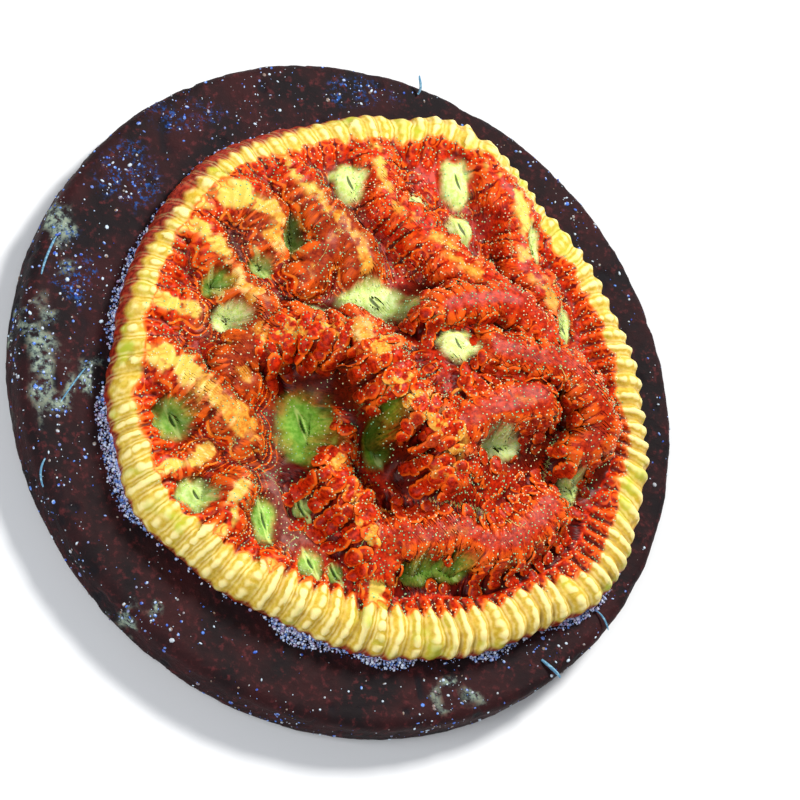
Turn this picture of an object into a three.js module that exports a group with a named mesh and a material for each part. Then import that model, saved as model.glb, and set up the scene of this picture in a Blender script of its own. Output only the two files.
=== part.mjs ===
// Brain coral colony grown on a round ceramic frag disc. Millimetres, +Z up.
// The origin is the centre of the disc's underside. +X runs across the colony and +Y away from its low side.
import * as THREE from "three";

// ---- driving dimensions: the disc ----
const DISC_RADIUS = 24.5;
const DISC_THICKNESS = 4;
const DISC_CHAMFER = 1;
const DISC_SEGMENTS = 120;

// ---- driving dimensions: the colony, in a plan of its own ----
const PLAN_SHIFT = [-1.9, -1.3]; // from the disc's centre to the plan's origin
const COLONY_CENTRE = [3.2, 1.6];
// Radius of the colony's outline about its centre: [angle in degrees, radius]
const OUTLINE = [
  [-165, 20.4],
  [-150, 21.2],
  [-135, 20.3],
  [-115, 19.6],
  [-90, 20],
  [-62, 20.5],
  [-42, 21.8],
  [-20, 20.8],
  [0, 19.9],
  [22, 19.3],
  [45, 19.2],
  [60, 20.5],
  [71, 21],
  [84, 19.7],
  [105, 19],
  [130, 19.4],
  [150, 19.1],
  [172, 19.3],
];
const RIM_HEIGHT = 2.8; // the thick growing edge, above the disc
const RIM_INSET = 1.7; // from the outline to the rim's crest
const RIM_HALF_WIDTH = 1.5;
const FLOOR_HEIGHT = 2; // valley floors near the rim
// Swellings that lift the floor: centre, half-lengths along X and Y, rise
const SWELLINGS = [
  { centre: [8.2, 0], half: [7.6, 5.8], rise: 5.6 },
  { centre: [7.4, -7.6], half: [5.6, 3], rise: 2.6 },
  { centre: [3, 8], half: [7, 6], rise: 0.9 },
];
const WALL_BLEND = 0.3; // how softly walls run into each other

// Walls between the valleys: half-width, then the crest's course [x, y, height above the disc]
const WALLS = [
  // upper-left hook
  {
    half: 1.6,
    crest: [
      [-11.5, 13, 2.8], [-9, 13.5, 3.6], [-6.5, 13.3, 4], [-5.2, 12, 4], [-4.8, 10.5, 3.6],
    ],
  },
  // upper-left curl
  {
    half: 1.3,
    crest: [
      [-13, 11, 2.8], [-10.3, 11, 3.8], [-9.6, 9.7, 4], [-8.7, 8, 4.1], [-7.7, 6.5, 4.3],
      [-6.4, 5.3, 4.5],
    ],
  },
  // lower run of the curl
  {
    half: 1.4,
    crest: [
      [-6.4, 5.3, 4.5], [-6.7, 3.6, 4.6], [-7.6, 2.1, 4.5], [-8.3, 1, 4.2], [-7.7, 0, 3.8],
    ],
  },
  // short left lobe
  {
    half: 1.2,
    crest: [
      [-15, 6, 2.8], [-13, 5.5, 3.1], [-11, 5, 3],
    ],
  },
  // long left bolster
  {
    half: 1.5,
    crest: [
      [-15.3, 2.2, 2.8], [-13.6, 1.1, 4], [-12.1, 0.1, 4.5], [-10.8, -1.1, 4.7], [-9, -2.7, 4.4],
      [-7.9, -3.8, 3.8],
    ],
  },
  // thin left wall
  {
    half: 0.9,
    crest: [
      [-15.6, -7.2, 2.8], [-13.7, -6.6, 3], [-11.9, -6, 3], [-10.2, -4.8, 2.7],
    ],
  },
  // lower-left hook
  {
    half: 1.3,
    crest: [
      [-11.3, -12.4, 2.8], [-9.8, -10.3, 3.6], [-9.4, -8.8, 4], [-8.5, -7.6, 3.9],
    ],
  },
  // small lower lobe
  {
    half: 1.1,
    crest: [
      [-7, -15, 2.8], [-6.2, -12.8, 3.1],
    ],
  },
  // smaller lower lobe
  {
    half: 0.9,
    crest: [
      [-4.6, -17, 2.8], [-4.8, -15, 3], [-4.2, -14.2, 2.8],
    ],
  },
  // lower straight wall
  {
    half: 1,
    crest: [
      [0.4, -18, 2.8], [0.9, -15.2, 3.3], [1.2, -13, 3.8],
    ],
  },
  // left shoulder of the hill
  {
    half: 1.6,
    crest: [
      [-6.2, 2.6, 4.8], [-4.2, 3.6, 6.2], [-2.5, 3.1, 7], [-1.2, 2.9, 8], [0.1, 3.3, 8.5],
    ],
  },
  // brow of the hill
  {
    half: 1.6,
    crest: [
      [0.1, 3.1, 8.5], [0.9, 1.6, 9.2], [1.5, -0.4, 9.5], [3.1, -2.6, 9.7], [4.6, -3.4, 9.5],
      [5.6, -4.6, 9], [5.8, -6, 7.6],
    ],
  },
  // low front wall
  {
    half: 1.3,
    crest: [
      [-1.2, -2.8, 4], [-1.3, -4.3, 4.6], [-2, -5.9, 4.8], [-1.5, -7.2, 5], [-0.5, -8.3, 5],
      [0.3, -9.7, 5], [0.7, -11.4, 4.6], [1.2, -12.8, 4],
    ],
  },
  // back of the hill
  {
    half: 1.5,
    crest: [
      [5.4, 4.6, 8.8], [7.8, 5.2, 8.8], [10.8, 5.3, 8.6], [13.2, 3.7, 8],
    ],
  },
  // right loop of the hill
  {
    half: 1.5,
    crest: [
      [8.4, 2, 9.3], [11.8, 1.6, 9.1], [14.3, 1.4, 8.7], [15.7, 0.2, 8.4], [16.7, -1.1, 8],
      [17.2, -2.4, 7.4], [16.1, -3.9, 6.2],
    ],
  },
  // middle of the hill
  {
    half: 1.8,
    crest: [
      [7.2, -3, 9], [9.4, -2, 9.1], [11.8, -1.4, 8.9],
    ],
  },
  // long back ridge
  {
    half: 1.6,
    crest: [
      [2.4, 19, 3], [3.2, 17.6, 3.6], [3.3, 15.6, 4.2], [3.7, 13.7, 4.6], [5, 12.7, 5],
      [6, 11.3, 5.3], [7.1, 9.8, 5.8], [8.2, 8.4, 6.6], [9.8, 6.8, 7.6], [10.8, 5.3, 8.4],
    ],
  },
  // right back wall
  {
    half: 1.5,
    crest: [
      [11.5, 20, 3], [12, 16.8, 4], [13.4, 14.6, 4.3], [13.9, 12.4, 4.3], [13.4, 10, 4.5],
      [14.3, 8.5, 4.8], [15.3, 7, 4.6],
    ],
  },
  // back-left branch
  {
    half: 1.4,
    crest: [
      [-4, 16.8, 2.8], [-2.6, 14.8, 4], [-1.6, 12.7, 4.8], [-0.3, 11.5, 5], [1, 9.4, 5.2],
      [1.3, 7.8, 4.8],
    ],
  },
  // side branch
  {
    half: 1.3,
    crest: [
      [-0.3, 11.5, 5], [-1.6, 9.6, 5], [-2.7, 7.8, 4.6],
    ],
  },
  // front shelf
  {
    half: 1.5,
    crest: [
      [1.6, -12, 4.2], [2.2, -10.6, 4.9], [4.4, -10.5, 5.3], [6.5, -10, 5.5], [8.3, -10.8, 5.5],
      [10.4, -10.5, 5.5], [12.5, -9, 5.5], [13.7, -7.8, 5.2],
    ],
  },
];

// Mouths of the polyps: [x, y, height above the disc, radius of the hollow]
const MOUTHS = [
  [1.2, 15.3, 2.6, 1.3],
  [9.5, 16.2, 2.4, 1.4],
  [9.5, 12.6, 2.6, 1.1],
  [-3.4, 11, 2, 0.9],
  [-5.6, 8.9, 1.8, 0.8],
  [-9.2, 7, 1.7, 0.9],
  [-8.3, 4.7, 1.7, 1.1],
  [-2.5, 5.3, 3, 1],
  [2.1, 6.2, 3.3, 1.7],
  [6.2, 2, 7.8, 1.3],
  [14.8, 11.4, 2.6, 0.8],
  [16.6, 5.8, 2.8, 1],
  [-3.2, -2.6, 2, 2.4],
  [1.4, -3.7, 2.8, 1.3],
  [-12.6, -2.8, 1.6, 1.3],
  [-11.2, -8, 1.6, 1.3],
  [-6.4, -9.5, 1.6, 1.1],
  [-3.2, -12.4, 1.7, 0.9],
  [9.8, -4.4, 5.3, 1.4],
  [16.2, -6, 2.6, 1],
  [4.3, -12.5, 2, 1.2],
  [6.8, -12.2, 2, 1.2],
];

// ---- how finely the colony is faceted ----
const COLONY_COLUMNS = 108;
const COLONY_RINGS = 36;
const RING_CROWDING = 0.35; // 0 spaces the rings evenly, more crowds them at the edge
const CREST_SAMPLES_PER_MM = 2;

const COLONY_COLOUR = 0xc8401a;
const DISC_COLOUR = 0x2a161b;

const { smoothstep } = THREE.MathUtils;

// The colony's outline radius at an angle, eased from one listed point to the next.
function outlineRadius(angle) {
  const degrees = THREE.MathUtils.radToDeg(angle);
  const turned = THREE.MathUtils.euclideanModulo(degrees - OUTLINE[0][0], 360) + OUTLINE[0][0];
  const closed = [...OUTLINE, [OUTLINE[0][0] + 360, OUTLINE[0][1]]];
  const next = closed.findIndex(([listed]) => listed > turned);
  const [fromAngle, fromRadius] = closed[next - 1];
  const [toAngle, toRadius] = closed[next];
  return THREE.MathUtils.lerp(fromRadius, toRadius, smoothstep(turned, fromAngle, toAngle));
}

// Points along a wall's crest, close enough together to measure distances to them.
function crestPoints(crest) {
  const course = new THREE.CatmullRomCurve3(crest.map((point) => new THREE.Vector3(...point)));
  return course.getSpacedPoints(Math.ceil(course.getLength() * CREST_SAMPLES_PER_MM));
}

const WALL_COURSES = WALLS.map(({ half, crest }) => ({ half, points: crestPoints(crest) }));

// Height of the valley floor: level near the rim, lifted by the swellings.
function floorHeight(x, y) {
  const lifts = SWELLINGS.map(({ centre, half, rise }) => {
    const reach = Math.hypot((x - centre[0]) / half[0], (y - centre[1]) / half[1]);
    return rise * Math.exp(-(reach ** 3));
  });
  return lifts.reduce((sum, lift) => sum + lift, FLOOR_HEIGHT);
}

// A rounded ridge: 1 on its crest, falling steeply past its half-width.
function ridge(distance, half) {
  return 1 / (1 + (distance / half) ** 4);
}

// How far one wall rises over the floor at a point.
function wallRise({ half, points }, x, y, floor) {
  let nearest = points[0];
  let distance = Infinity;
  for (const point of points) {
    const apart = Math.hypot(x - point.x, y - point.y);
    if (apart < distance) {
      distance = apart;
      nearest = point;
    }
  }
  return Math.max(0, nearest.z - floor) * ridge(distance, half);
}

// Height of the skin over the disc: floor, walls and rim blended, mouths hollowed, edge rounded down.
function skinHeight(x, y, inset) {
  const floor = floorHeight(x, y);
  const rises = WALL_COURSES.map((wall) => wallRise(wall, x, y, floor));
  rises.push(Math.max(0, RIM_HEIGHT - floor) * ridge(inset - RIM_INSET, RIM_HALF_WIDTH));
  const blended = rises.reduce((sum, rise) => sum + Math.expm1(rise / WALL_BLEND), 0);
  let height = floor + WALL_BLEND * Math.log1p(blended);
  for (const [mouthX, mouthY, mouthHeight, radius] of MOUTHS) {
    const within = Math.exp(-((Math.hypot(x - mouthX, y - mouthY) / radius) ** 4));
    height = THREE.MathUtils.lerp(height, mouthHeight, within);
  }
  const rounding = 1 - Math.min(inset / RIM_INSET, 1);
  return height * Math.sqrt(1 - rounding ** 2);
}

// One point of the colony's skin, at an angle and a share of the way from its centre to the outline.
function skinPoint(angle, share) {
  const radius = outlineRadius(angle);
  const x = COLONY_CENTRE[0] + radius * share * Math.cos(angle);
  const y = COLONY_CENTRE[1] + radius * share * Math.sin(angle);
  const height = skinHeight(x, y, radius * (1 - share));
  return [x + PLAN_SHIFT[0], y + PLAN_SHIFT[1], DISC_THICKNESS + height];
}

// The colony is a skin of rings round its centre, closed by a flat base on the disc.
function colonyGeometry() {
  const positions = [...skinPoint(0, 0)];
  for (let ring = 1; ring <= COLONY_RINGS; ring++) {
    const t = ring / COLONY_RINGS;
    const share = t * (1 + RING_CROWDING - RING_CROWDING * t);
    for (let column = 0; column < COLONY_COLUMNS; column++) {
      positions.push(...skinPoint((column / COLONY_COLUMNS) * 2 * Math.PI, share));
    }
  }
  positions.push(COLONY_CENTRE[0] + PLAN_SHIFT[0], COLONY_CENTRE[1] + PLAN_SHIFT[1], DISC_THICKNESS);
  const baseCentre = positions.length / 3 - 1;
  const at = (ring, column) => 1 + (ring - 1) * COLONY_COLUMNS + (column % COLONY_COLUMNS);

  const faces = [];
  for (let column = 0; column < COLONY_COLUMNS; column++) {
    faces.push(0, at(1, column), at(1, column + 1));
    for (let ring = 1; ring < COLONY_RINGS; ring++) {
      faces.push(at(ring, column), at(ring + 1, column), at(ring + 1, column + 1));
      faces.push(at(ring, column), at(ring + 1, column + 1), at(ring, column + 1));
    }
    faces.push(baseCentre, at(COLONY_RINGS, column + 1), at(COLONY_RINGS, column));
  }

  const geometry = new THREE.BufferGeometry();
  geometry.setAttribute("position", new THREE.Float32BufferAttribute(positions, 3));
  geometry.setIndex(faces);
  geometry.computeVertexNormals();
  return geometry;
}

// The disc is a short round plug with both edges chamfered.
function discGeometry() {
  const profile = [
    new THREE.Vector2(0, 0),
    new THREE.Vector2(DISC_RADIUS - DISC_CHAMFER, 0),
    new THREE.Vector2(DISC_RADIUS, DISC_CHAMFER),
    new THREE.Vector2(DISC_RADIUS, DISC_THICKNESS - DISC_CHAMFER),
    new THREE.Vector2(DISC_RADIUS - DISC_CHAMFER, DISC_THICKNESS),
    new THREE.Vector2(0, DISC_THICKNESS),
  ];
  return new THREE.LatheGeometry(profile, DISC_SEGMENTS).rotateX(Math.PI / 2);
}

function colony() {
  const material = new THREE.MeshStandardMaterial({ color: COLONY_COLOUR, roughness: 0.5, metalness: 0 });
  const mesh = new THREE.Mesh(colonyGeometry(), material);
  mesh.name = "coral_colony";
  return mesh;
}

function fragDisc() {
  const material = new THREE.MeshStandardMaterial({ color: DISC_COLOUR, roughness: 0.85, metalness: 0 });
  const mesh = new THREE.Mesh(discGeometry(), material);
  mesh.name = "frag_disc";
  return mesh;
}

const brainCoral = new THREE.Group();
brainCoral.add(fragDisc(), colony());

export default brainCoral;
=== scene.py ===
"""A brain coral colony on its frag disc: the flesh, its small growths, the crusted disc and the studio.

Every shape is worked out in millimetres, as arrays over a grid of two parameters, and put into meshes in
metres. The colony's heights are measured up from the top of the disc, and the disc's from its underside.
"""

import math

import bpy
import numpy as np
from mathutils import Matrix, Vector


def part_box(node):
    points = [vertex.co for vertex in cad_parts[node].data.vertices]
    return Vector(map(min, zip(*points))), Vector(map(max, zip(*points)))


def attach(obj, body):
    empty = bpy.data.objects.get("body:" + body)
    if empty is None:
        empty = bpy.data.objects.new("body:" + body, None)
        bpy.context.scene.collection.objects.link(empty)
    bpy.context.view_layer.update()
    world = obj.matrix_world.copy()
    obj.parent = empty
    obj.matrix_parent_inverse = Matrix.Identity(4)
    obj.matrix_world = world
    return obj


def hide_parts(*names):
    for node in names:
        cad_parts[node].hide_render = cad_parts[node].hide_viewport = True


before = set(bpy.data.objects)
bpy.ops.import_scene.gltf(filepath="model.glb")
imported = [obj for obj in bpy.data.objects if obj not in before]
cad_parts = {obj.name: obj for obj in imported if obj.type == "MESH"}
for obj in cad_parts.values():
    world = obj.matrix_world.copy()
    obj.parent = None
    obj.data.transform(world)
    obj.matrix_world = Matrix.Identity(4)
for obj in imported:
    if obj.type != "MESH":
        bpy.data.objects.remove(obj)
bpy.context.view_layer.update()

MM = 0.001
TAU = 2 * math.pi

# ---- the disc, from the frame ----
DISC_LOW, DISC_HIGH = (np.array(corner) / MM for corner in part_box("frag_disc"))
DISC_TOP = DISC_HIGH[2]
DISC_RADIUS = DISC_HIGH[0]
DISC_EDGE_ROUNDING = 1.0

# ---- the colony's plan, in millimetres about an origin of its own ----
PLAN_SHIFT = (-1.9, -1.3)  # from the disc's centre to the plan's origin
COLONY_CENTRE = (3.2, 1.6)
# Outline: angle in degrees, radius about the colony's centre
OUTLINE = np.array([
    (-165, 20.4), (-150, 21.2), (-135, 20.3), (-115, 19.6), (-90, 20), (-62, 20.5),
    (-42, 21.8), (-20, 20.8), (0, 19.9), (22, 19.3), (45, 19.2), (60, 20.5),
    (71, 21), (84, 19.7), (105, 19), (130, 19.4), (150, 19.1), (172, 19.3),
])
RIM_HEIGHT = 2.8
RIM_INSET = 1.7
RIM_HALF_WIDTH = 1.5
RIM_BULGE_HEIGHT = 0.9
RIM_UNDERCUT = math.radians(30)
FLOOR_HEIGHT = 2.0
WALL_BLEND = 0.3

# Swellings that lift the valley floor: centre, half-lengths along X and Y, rise
SWELLINGS = (
    ((8.2, 0.0), (7.6, 5.8), 5.6),
    ((7.4, -7.6), (5.6, 3.0), 2.6),
    ((3.0, 8.0), (7.0, 6.0), 0.9),
)

# How the ribs on a wall look: pitch, rise, strength on the crest (the flanks have 1), bead length, the span
# of the flank that carries beads, in half-widths from the crest, and that span's limit on the crest's left
FAR = 9  # half-widths: further from the crest than any wall reaches
RIB_STYLES = {
    "rim": (1.3, 0.38, 0.9, 0.8, FAR, FAR, FAR),
    "fleshy": (1.5, 0.26, 0.2, 1.5, FAR, FAR, FAR),
    "lobed": (1.1, 0.4, 0.5, 1.0, FAR, FAR, FAR),
    "beaded": (1.0, 0.4, 0.7, 0.95, -1, 2.8, 0.5),
    "ribbed": (0.85, 0.35, 0.38, 0.8, 0.75, 2.2, FAR),
    "smooth": (1.4, 0.12, 0.2, 1.4, FAR, FAR, FAR),
}
RIM_PITCH, RIM_RISE, _, RIM_BEAD = RIB_STYLES["rim"][:4]

# Walls between the valleys: rib style, half-width, how yellow the crest is (0 to 1), how far the wall leans
# over (towards +X, +Y), and the crest's course (x, y, height)
WALLS = (
    # upper-left hook
    ("fleshy", 1.6, 0.9, (0, 0), (
        (-11.5, 13, 2.8), (-9, 13.5, 3.6), (-6.5, 13.3, 4), (-5.2, 12, 4), (-4.8, 10.5, 3.6),
    )),
    # upper-left curl
    ("fleshy", 1.3, 0.7, (0, 0), (
        (-13, 11, 2.8), (-10.3, 11, 3.8), (-9.6, 9.7, 4), (-8.7, 8, 4.1), (-7.7, 6.5, 4.3),
        (-6.4, 5.3, 4.5),
    )),
    # lower run of the curl
    ("fleshy", 1.4, 0.4, (0, 0), (
        (-6.4, 5.3, 4.5), (-6.7, 3.6, 4.6), (-7.6, 2.1, 4.5), (-8.3, 1, 4.2), (-7.7, 0, 3.8),
    )),
    # short left lobe
    ("fleshy", 1.2, 0.7, (0, 0), (
        (-15, 6, 2.8), (-13, 5.5, 3.1), (-11, 5, 3),
    )),
    # long left bolster
    ("fleshy", 1.5, 1, (0, 0), (
        (-15.3, 2.2, 2.8), (-13.6, 1.1, 4), (-12.1, 0.1, 4.5), (-10.8, -1.1, 4.7), (-9, -2.7, 4.4),
        (-7.9, -3.8, 3.8),
    )),
    # thin left wall
    ("smooth", 0.9, 1, (0, 0), (
        (-15.6, -7.2, 2.8), (-13.7, -6.6, 3), (-11.9, -6, 3), (-10.2, -4.8, 2.7),
    )),
    # lower-left hook
    ("fleshy", 1.3, 0.6, (0, 0), (
        (-11.3, -12.4, 2.8), (-9.8, -10.3, 3.6), (-9.4, -8.8, 4), (-8.5, -7.6, 3.9),
    )),
    # small lower lobe
    ("fleshy", 1.1, 0.7, (0, 0), (
        (-7, -15, 2.8), (-6.2, -12.8, 3.1),
    )),
    # smaller lower lobe
    ("fleshy", 0.9, 0.6, (0, 0), (
        (-4.6, -17, 2.8), (-4.8, -15, 3), (-4.2, -14.2, 2.8),
    )),
    # lower straight wall
    ("smooth", 1, 1, (0, 0), (
        (0.4, -18, 2.8), (0.9, -15.2, 3.3), (1.2, -13, 3.8),
    )),
    # left shoulder of the hill
    ("beaded", 1.6, 0.7, (-0.3, -0.4), (
        (-6.2, 2.6, 4.8), (-4.2, 3.6, 6.2), (-2.5, 3.1, 7), (-1.2, 2.9, 8), (0.1, 3.3, 8.5),
    )),
    # brow of the hill
    ("beaded", 1.6, 0.9, (-0.6, -0.5), (
        (0.1, 3.1, 8.5), (0.9, 1.6, 9.2), (1.5, -0.4, 9.5), (3.1, -2.6, 9.7), (4.6, -3.4, 9.5),
        (5.6, -4.6, 9), (5.8, -6, 7.6),
    )),
    # low front wall
    ("beaded", 1.3, 0.6, (-0.3, 0), (
        (-1.2, -2.8, 4), (-1.3, -4.3, 4.6), (-2, -5.9, 4.8), (-1.5, -7.2, 5), (-0.5, -8.3, 5),
        (0.3, -9.7, 5), (0.7, -11.4, 4.6), (1.2, -12.8, 4),
    )),
    # back of the hill
    ("ribbed", 1.5, 0.15, (0, 0), (
        (5.4, 4.6, 8.8), (7.8, 5.2, 8.8), (10.8, 5.3, 8.6), (13.2, 3.7, 8),
    )),
    # right loop of the hill
    ("ribbed", 1.5, 0.25, (0.1, -0.5), (
        (8.4, 2, 9.3), (11.8, 1.6, 9.1), (14.3, 1.4, 8.7), (15.7, 0.2, 8.4), (16.7, -1.1, 8),
        (17.2, -2.4, 7.4), (16.1, -3.9, 6.2),
    )),
    # middle of the hill
    ("ribbed", 1.8, 0.3, (0, -0.3), (
        (7.2, -3, 9), (9.4, -2, 9.1), (11.8, -1.4, 8.9),
    )),
    # long back ridge
    ("lobed", 1.6, 0.5, (0, 0), (
        (2.4, 19, 3), (3.2, 17.6, 3.6), (3.3, 15.6, 4.2), (3.7, 13.7, 4.6), (5, 12.7, 5),
        (6, 11.3, 5.3), (7.1, 9.8, 5.8), (8.2, 8.4, 6.6), (9.8, 6.8, 7.6), (10.8, 5.3, 8.4),
    )),
    # right back wall
    ("lobed", 1.5, 0.5, (0, 0), (
        (11.5, 20, 3), (12, 16.8, 4), (13.4, 14.6, 4.3), (13.9, 12.4, 4.3), (13.4, 10, 4.5),
        (14.3, 8.5, 4.8), (15.3, 7, 4.6),
    )),
    # back-left branch
    ("fleshy", 1.4, 0.5, (0, 0), (
        (-4, 16.8, 2.8), (-2.6, 14.8, 4), (-1.6, 12.7, 4.8), (-0.3, 11.5, 5), (1, 9.4, 5.2),
        (1.3, 7.8, 4.8),
    )),
    # side branch
    ("fleshy", 1.3, 0.4, (0, 0), (
        (-0.3, 11.5, 5), (-1.6, 9.6, 5), (-2.7, 7.8, 4.6),
    )),
    # front shelf
    ("ribbed", 1.7, 0.3, (0, -0.5), (
        (1.6, -12, 4.2), (2.2, -10.6, 4.9), (4.4, -10.5, 5.3), (6.5, -10, 5.5), (8.3, -10.8, 5.5),
        (10.4, -10.5, 5.5), (12.5, -9, 5.5), (13.7, -7.8, 5.2),
    )),
)

# Mouths: x, y, height, radius of the hollow, paleness (0 green to 1 near white), stretch along X and Y
MOUTHS = (
    (1.2, 15.3, 2.6, 1.3, 0.8, 1.0, 1.2),
    (9.5, 16.2, 2.4, 1.4, 0.8, 0.9, 1.4),
    (9.5, 12.6, 2.6, 1.1, 0.9, 1.0, 1.0),
    (-3.4, 11.0, 2.0, 0.9, 0.3, 0.8, 1.6),
    (-5.6, 8.9, 1.8, 0.8, 0.4, 1.0, 1.0),
    (-9.2, 7.0, 1.7, 0.9, 0.2, 1.0, 1.0),
    (-8.3, 4.7, 1.7, 1.1, 1.0, 1.1, 1.0),
    (-2.5, 5.3, 3.0, 1.0, 0.9, 1.2, 0.6),
    (2.1, 6.2, 3.3, 1.7, 0.8, 1.5, 0.9),
    (6.2, 2.0, 7.8, 1.3, 1.0, 1.0, 1.0),
    (14.8, 11.4, 2.6, 0.8, 0.9, 0.8, 1.8),
    (16.6, 5.8, 2.8, 1.0, 0.8, 0.8, 1.4),
    (-3.3, -2.7, 2.0, 2.0, 0.1, 0.9, 1.3),
    (1.5, -3.9, 2.8, 1.05, 0.0, 0.8, 1.7),
    (-3.6, -8.6, 1.8, 0.5, 0.4, 1.0, 1.0),
    (-1.6, -13.0, 2.0, 0.5, 0.2, 1.0, 1.0),
    (5.6, 14.0, 3.6, 0.6, 0.8, 1.2, 0.7),
    (-12.6, -2.8, 1.6, 1.3, 0.2, 1.0, 1.1),
    (-11.2, -8.0, 1.6, 1.3, 0.6, 1.1, 0.9),
    (-6.4, -9.5, 1.6, 1.1, 0.2, 0.8, 1.5),
    (-3.2, -12.4, 1.7, 0.9, 0.3, 1.0, 1.0),
    (9.8, -4.4, 5.3, 1.4, 0.9, 1.3, 0.8),
    (16.2, -6.0, 2.6, 1.0, 0.8, 0.9, 1.4),
    (4.3, -12.5, 2.0, 1.2, 0.1, 1.0, 0.8),
    (6.8, -12.2, 2.0, 1.2, 0.1, 1.0, 0.8),
)

# Valleys with a bare brown floor: centre and half-lengths
BROWN_VALLEYS = (((-4.5, -6.5), (4.2, 5.5)), ((-8.5, 4.2), (2.6, 1.8)), ((-6.0, 11.0), (4.5, 2.6)),
                 ((1.0, 14.5), (2.0, 2.6)))

# ---- the colony's grid ----
GRID_SIDE = 240
RIM_BAND = 4.0  # width of the rings round the middle grid
RIM_FLAT_RINGS = 19
RIM_ROUND_RINGS = 22
CREST_STEP = 0.15
FAN_RADIUS = 1.1
SLOPE_PASSES = 160
SLOPE_WEIGHT = 0.8

# ---- small growths: how many places are tried, and the least space between two that are kept ----
PAPILLA_TRIES = 11000
PAPILLA_SPACING = 0.36
CRUST_TRIES = 13000
FLECK_TRIES = 3600
FLECK_SPACING = 0.3

# ---- the disc's grid, and its stains: centre and half-lengths from the disc's centre ----
DISC_COLUMNS = 560
DISC_RINGS = 104
PALE_PATCHES = (((-22.4, -1.2), (1.6, 3.4)), ((-22.8, 3.2), (1.2, 2.4)), ((-21.0, 10.0), (1.0, 3.2)),
                ((-19.6, -0.6), (0.9, 1.6)), ((-17.0, -17.0), (1.6, 1.0)), ((6.0, -22.0), (2.6, 0.9)))
BLUE_PATCHES = (((-15.9, 14.4), (2.2, 2.4)), ((-11.5, 19.5), (2.8, 1.6)), ((-20.5, 7.0), (1.4, 3.0)),
                ((2.0, 22.5), (3.0, 1.2)))

# Worm tubes: the four points of each one's curve
WORM_PATHS = (
    ((6.3, 22.6, 4.0), (6.6, 23.0, 4.4), (6.2, 23.5, 4.6), (6.4, 23.9, 4.3)),
    ((12.6, -19.0, 3.9), (13.0, -19.5, 4.2), (13.6, -19.9, 4.1), (13.9, -20.2, 3.9)),
    ((17.0, -15.2, 3.9), (17.4, -15.6, 4.3), (17.6, -16.2, 4.3), (17.9, -16.6, 3.9)),
    ((-22.9, -6.6, 3.8), (-23.3, -7.2, 3.9), (-23.4, -7.8, 3.8), (-23.1, -8.6, 3.7)),
    ((-21.7, -2.6, 3.9), (-20.9, -1.4, 4.0), (-20.2, -0.4, 4.0), (-19.4, 0.4, 3.9)),
    ((-22.6, 6.6, 3.8), (-22.2, 8.2, 3.9), (-21.3, 9.9, 3.9), (-20.2, 11.2, 3.8)),
)
WORM_SIDES = 8
WORM_STEPS = 14

# ---- the view and the light ----
CAMERA_RISE = math.radians(60)
CAMERA_TURN = math.radians(40)
CAMERA_DISTANCE = 330.0
VIEW_WIDTH = 55.6
SENSOR_WIDTH = 36.0
AIM = (3.25, -0.7)
LIT_SPOT = (0, 0, 8)

# ---- colours, as red, green and blue ----
RED_DEEP = (0.54, 0.06, 0.0)
RED = (0.82, 0.18, 0.02)
ORANGE = (0.99, 0.42, 0.09)
GOLD_DEEP = (0.8, 0.42, 0.09)
GOLD = (0.9, 0.68, 0.26)
LEMON_DEEP = (0.78, 0.64, 0.18)
LEMON = (0.87, 0.75, 0.32)
# pale lemon, used for painted highlights and painted glow lines
LEMON_HIGHLIGHT = (0.97, 0.9, 0.6)
UMBER_DEEP = (0.44, 0.1, 0.03)
UMBER = (0.6, 0.23, 0.07)
SHADOW_RED = (0.13, 0.0, 0.0)
SHADOW_OLIVE = (0.6, 0.4, 0.08)
MARGIN_TONES = ((0.24, 0.4, 0.72), (0.5, 0.62, 0.86), (0.6, 0.5, 0.66), (0.82, 0.87, 0.95))
FLECK_TONES = ((0.12, 0.28, 0.7), (0.3, 0.5, 0.85), (0.5, 0.4, 0.32), (0.75, 0.82, 0.88))
TUBE_TONES = ((0.3, 0.5, 0.62), (0.55, 0.72, 0.8))


# ---------------------------------------------------------------- arithmetic

def smoothstep(low, high, value):
    """0 below low, 1 above high, and the S-shaped t^2 (3 - 2t) between."""
    t = np.clip((value - low) / (high - low), 0, 1)
    return t * t * (3 - 2 * t)


def chance(cells, seed):
    """A repeatable random number from 0 to 1 for each row of whole numbers."""
    mixed = np.full(cells.shape[:-1], seed * 977 + 13, dtype=np.uint64)
    for axis, prime in enumerate((73856093, 19349663, 83492791)[: cells.shape[-1]]):
        mixed ^= cells[..., axis].astype(np.int64).astype(np.uint64) * np.uint64(prime)
        mixed ^= mixed >> np.uint64(15)
        mixed *= np.uint64(0x2C1B3C6D)
        mixed &= np.uint64(0xFFFFFFFF)
        mixed ^= mixed >> np.uint64(12)
    return (mixed & np.uint64(0xFFFFFF)).astype(float) / 0xFFFFFF


def lumps(points, size, seed):
    """Smooth noise from -1 to 1: random values on a lattice of the given size, blended between corners."""
    scaled = points / size + 1000
    cell = np.floor(scaled)
    part = scaled - cell
    part = part * part * (3 - 2 * part)
    total = np.zeros(len(points))
    for corner in np.ndindex(*(2,) * points.shape[1]):
        corner = np.array(corner)
        weight = np.prod(np.where(corner == 1, part, 1 - part), axis=1)
        total += weight * chance(cell + corner, seed)
    return total * 2 - 1


def rough(points, size, seed, layers=3):
    """Noise with detail: each layer is half the size and half the strength of the one before."""
    parts = [lumps(points, size / 2**layer, seed + layer) / 2**layer for layer in range(layers)]
    return sum(parts) / (2 - 0.5 ** (layers - 1))


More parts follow.
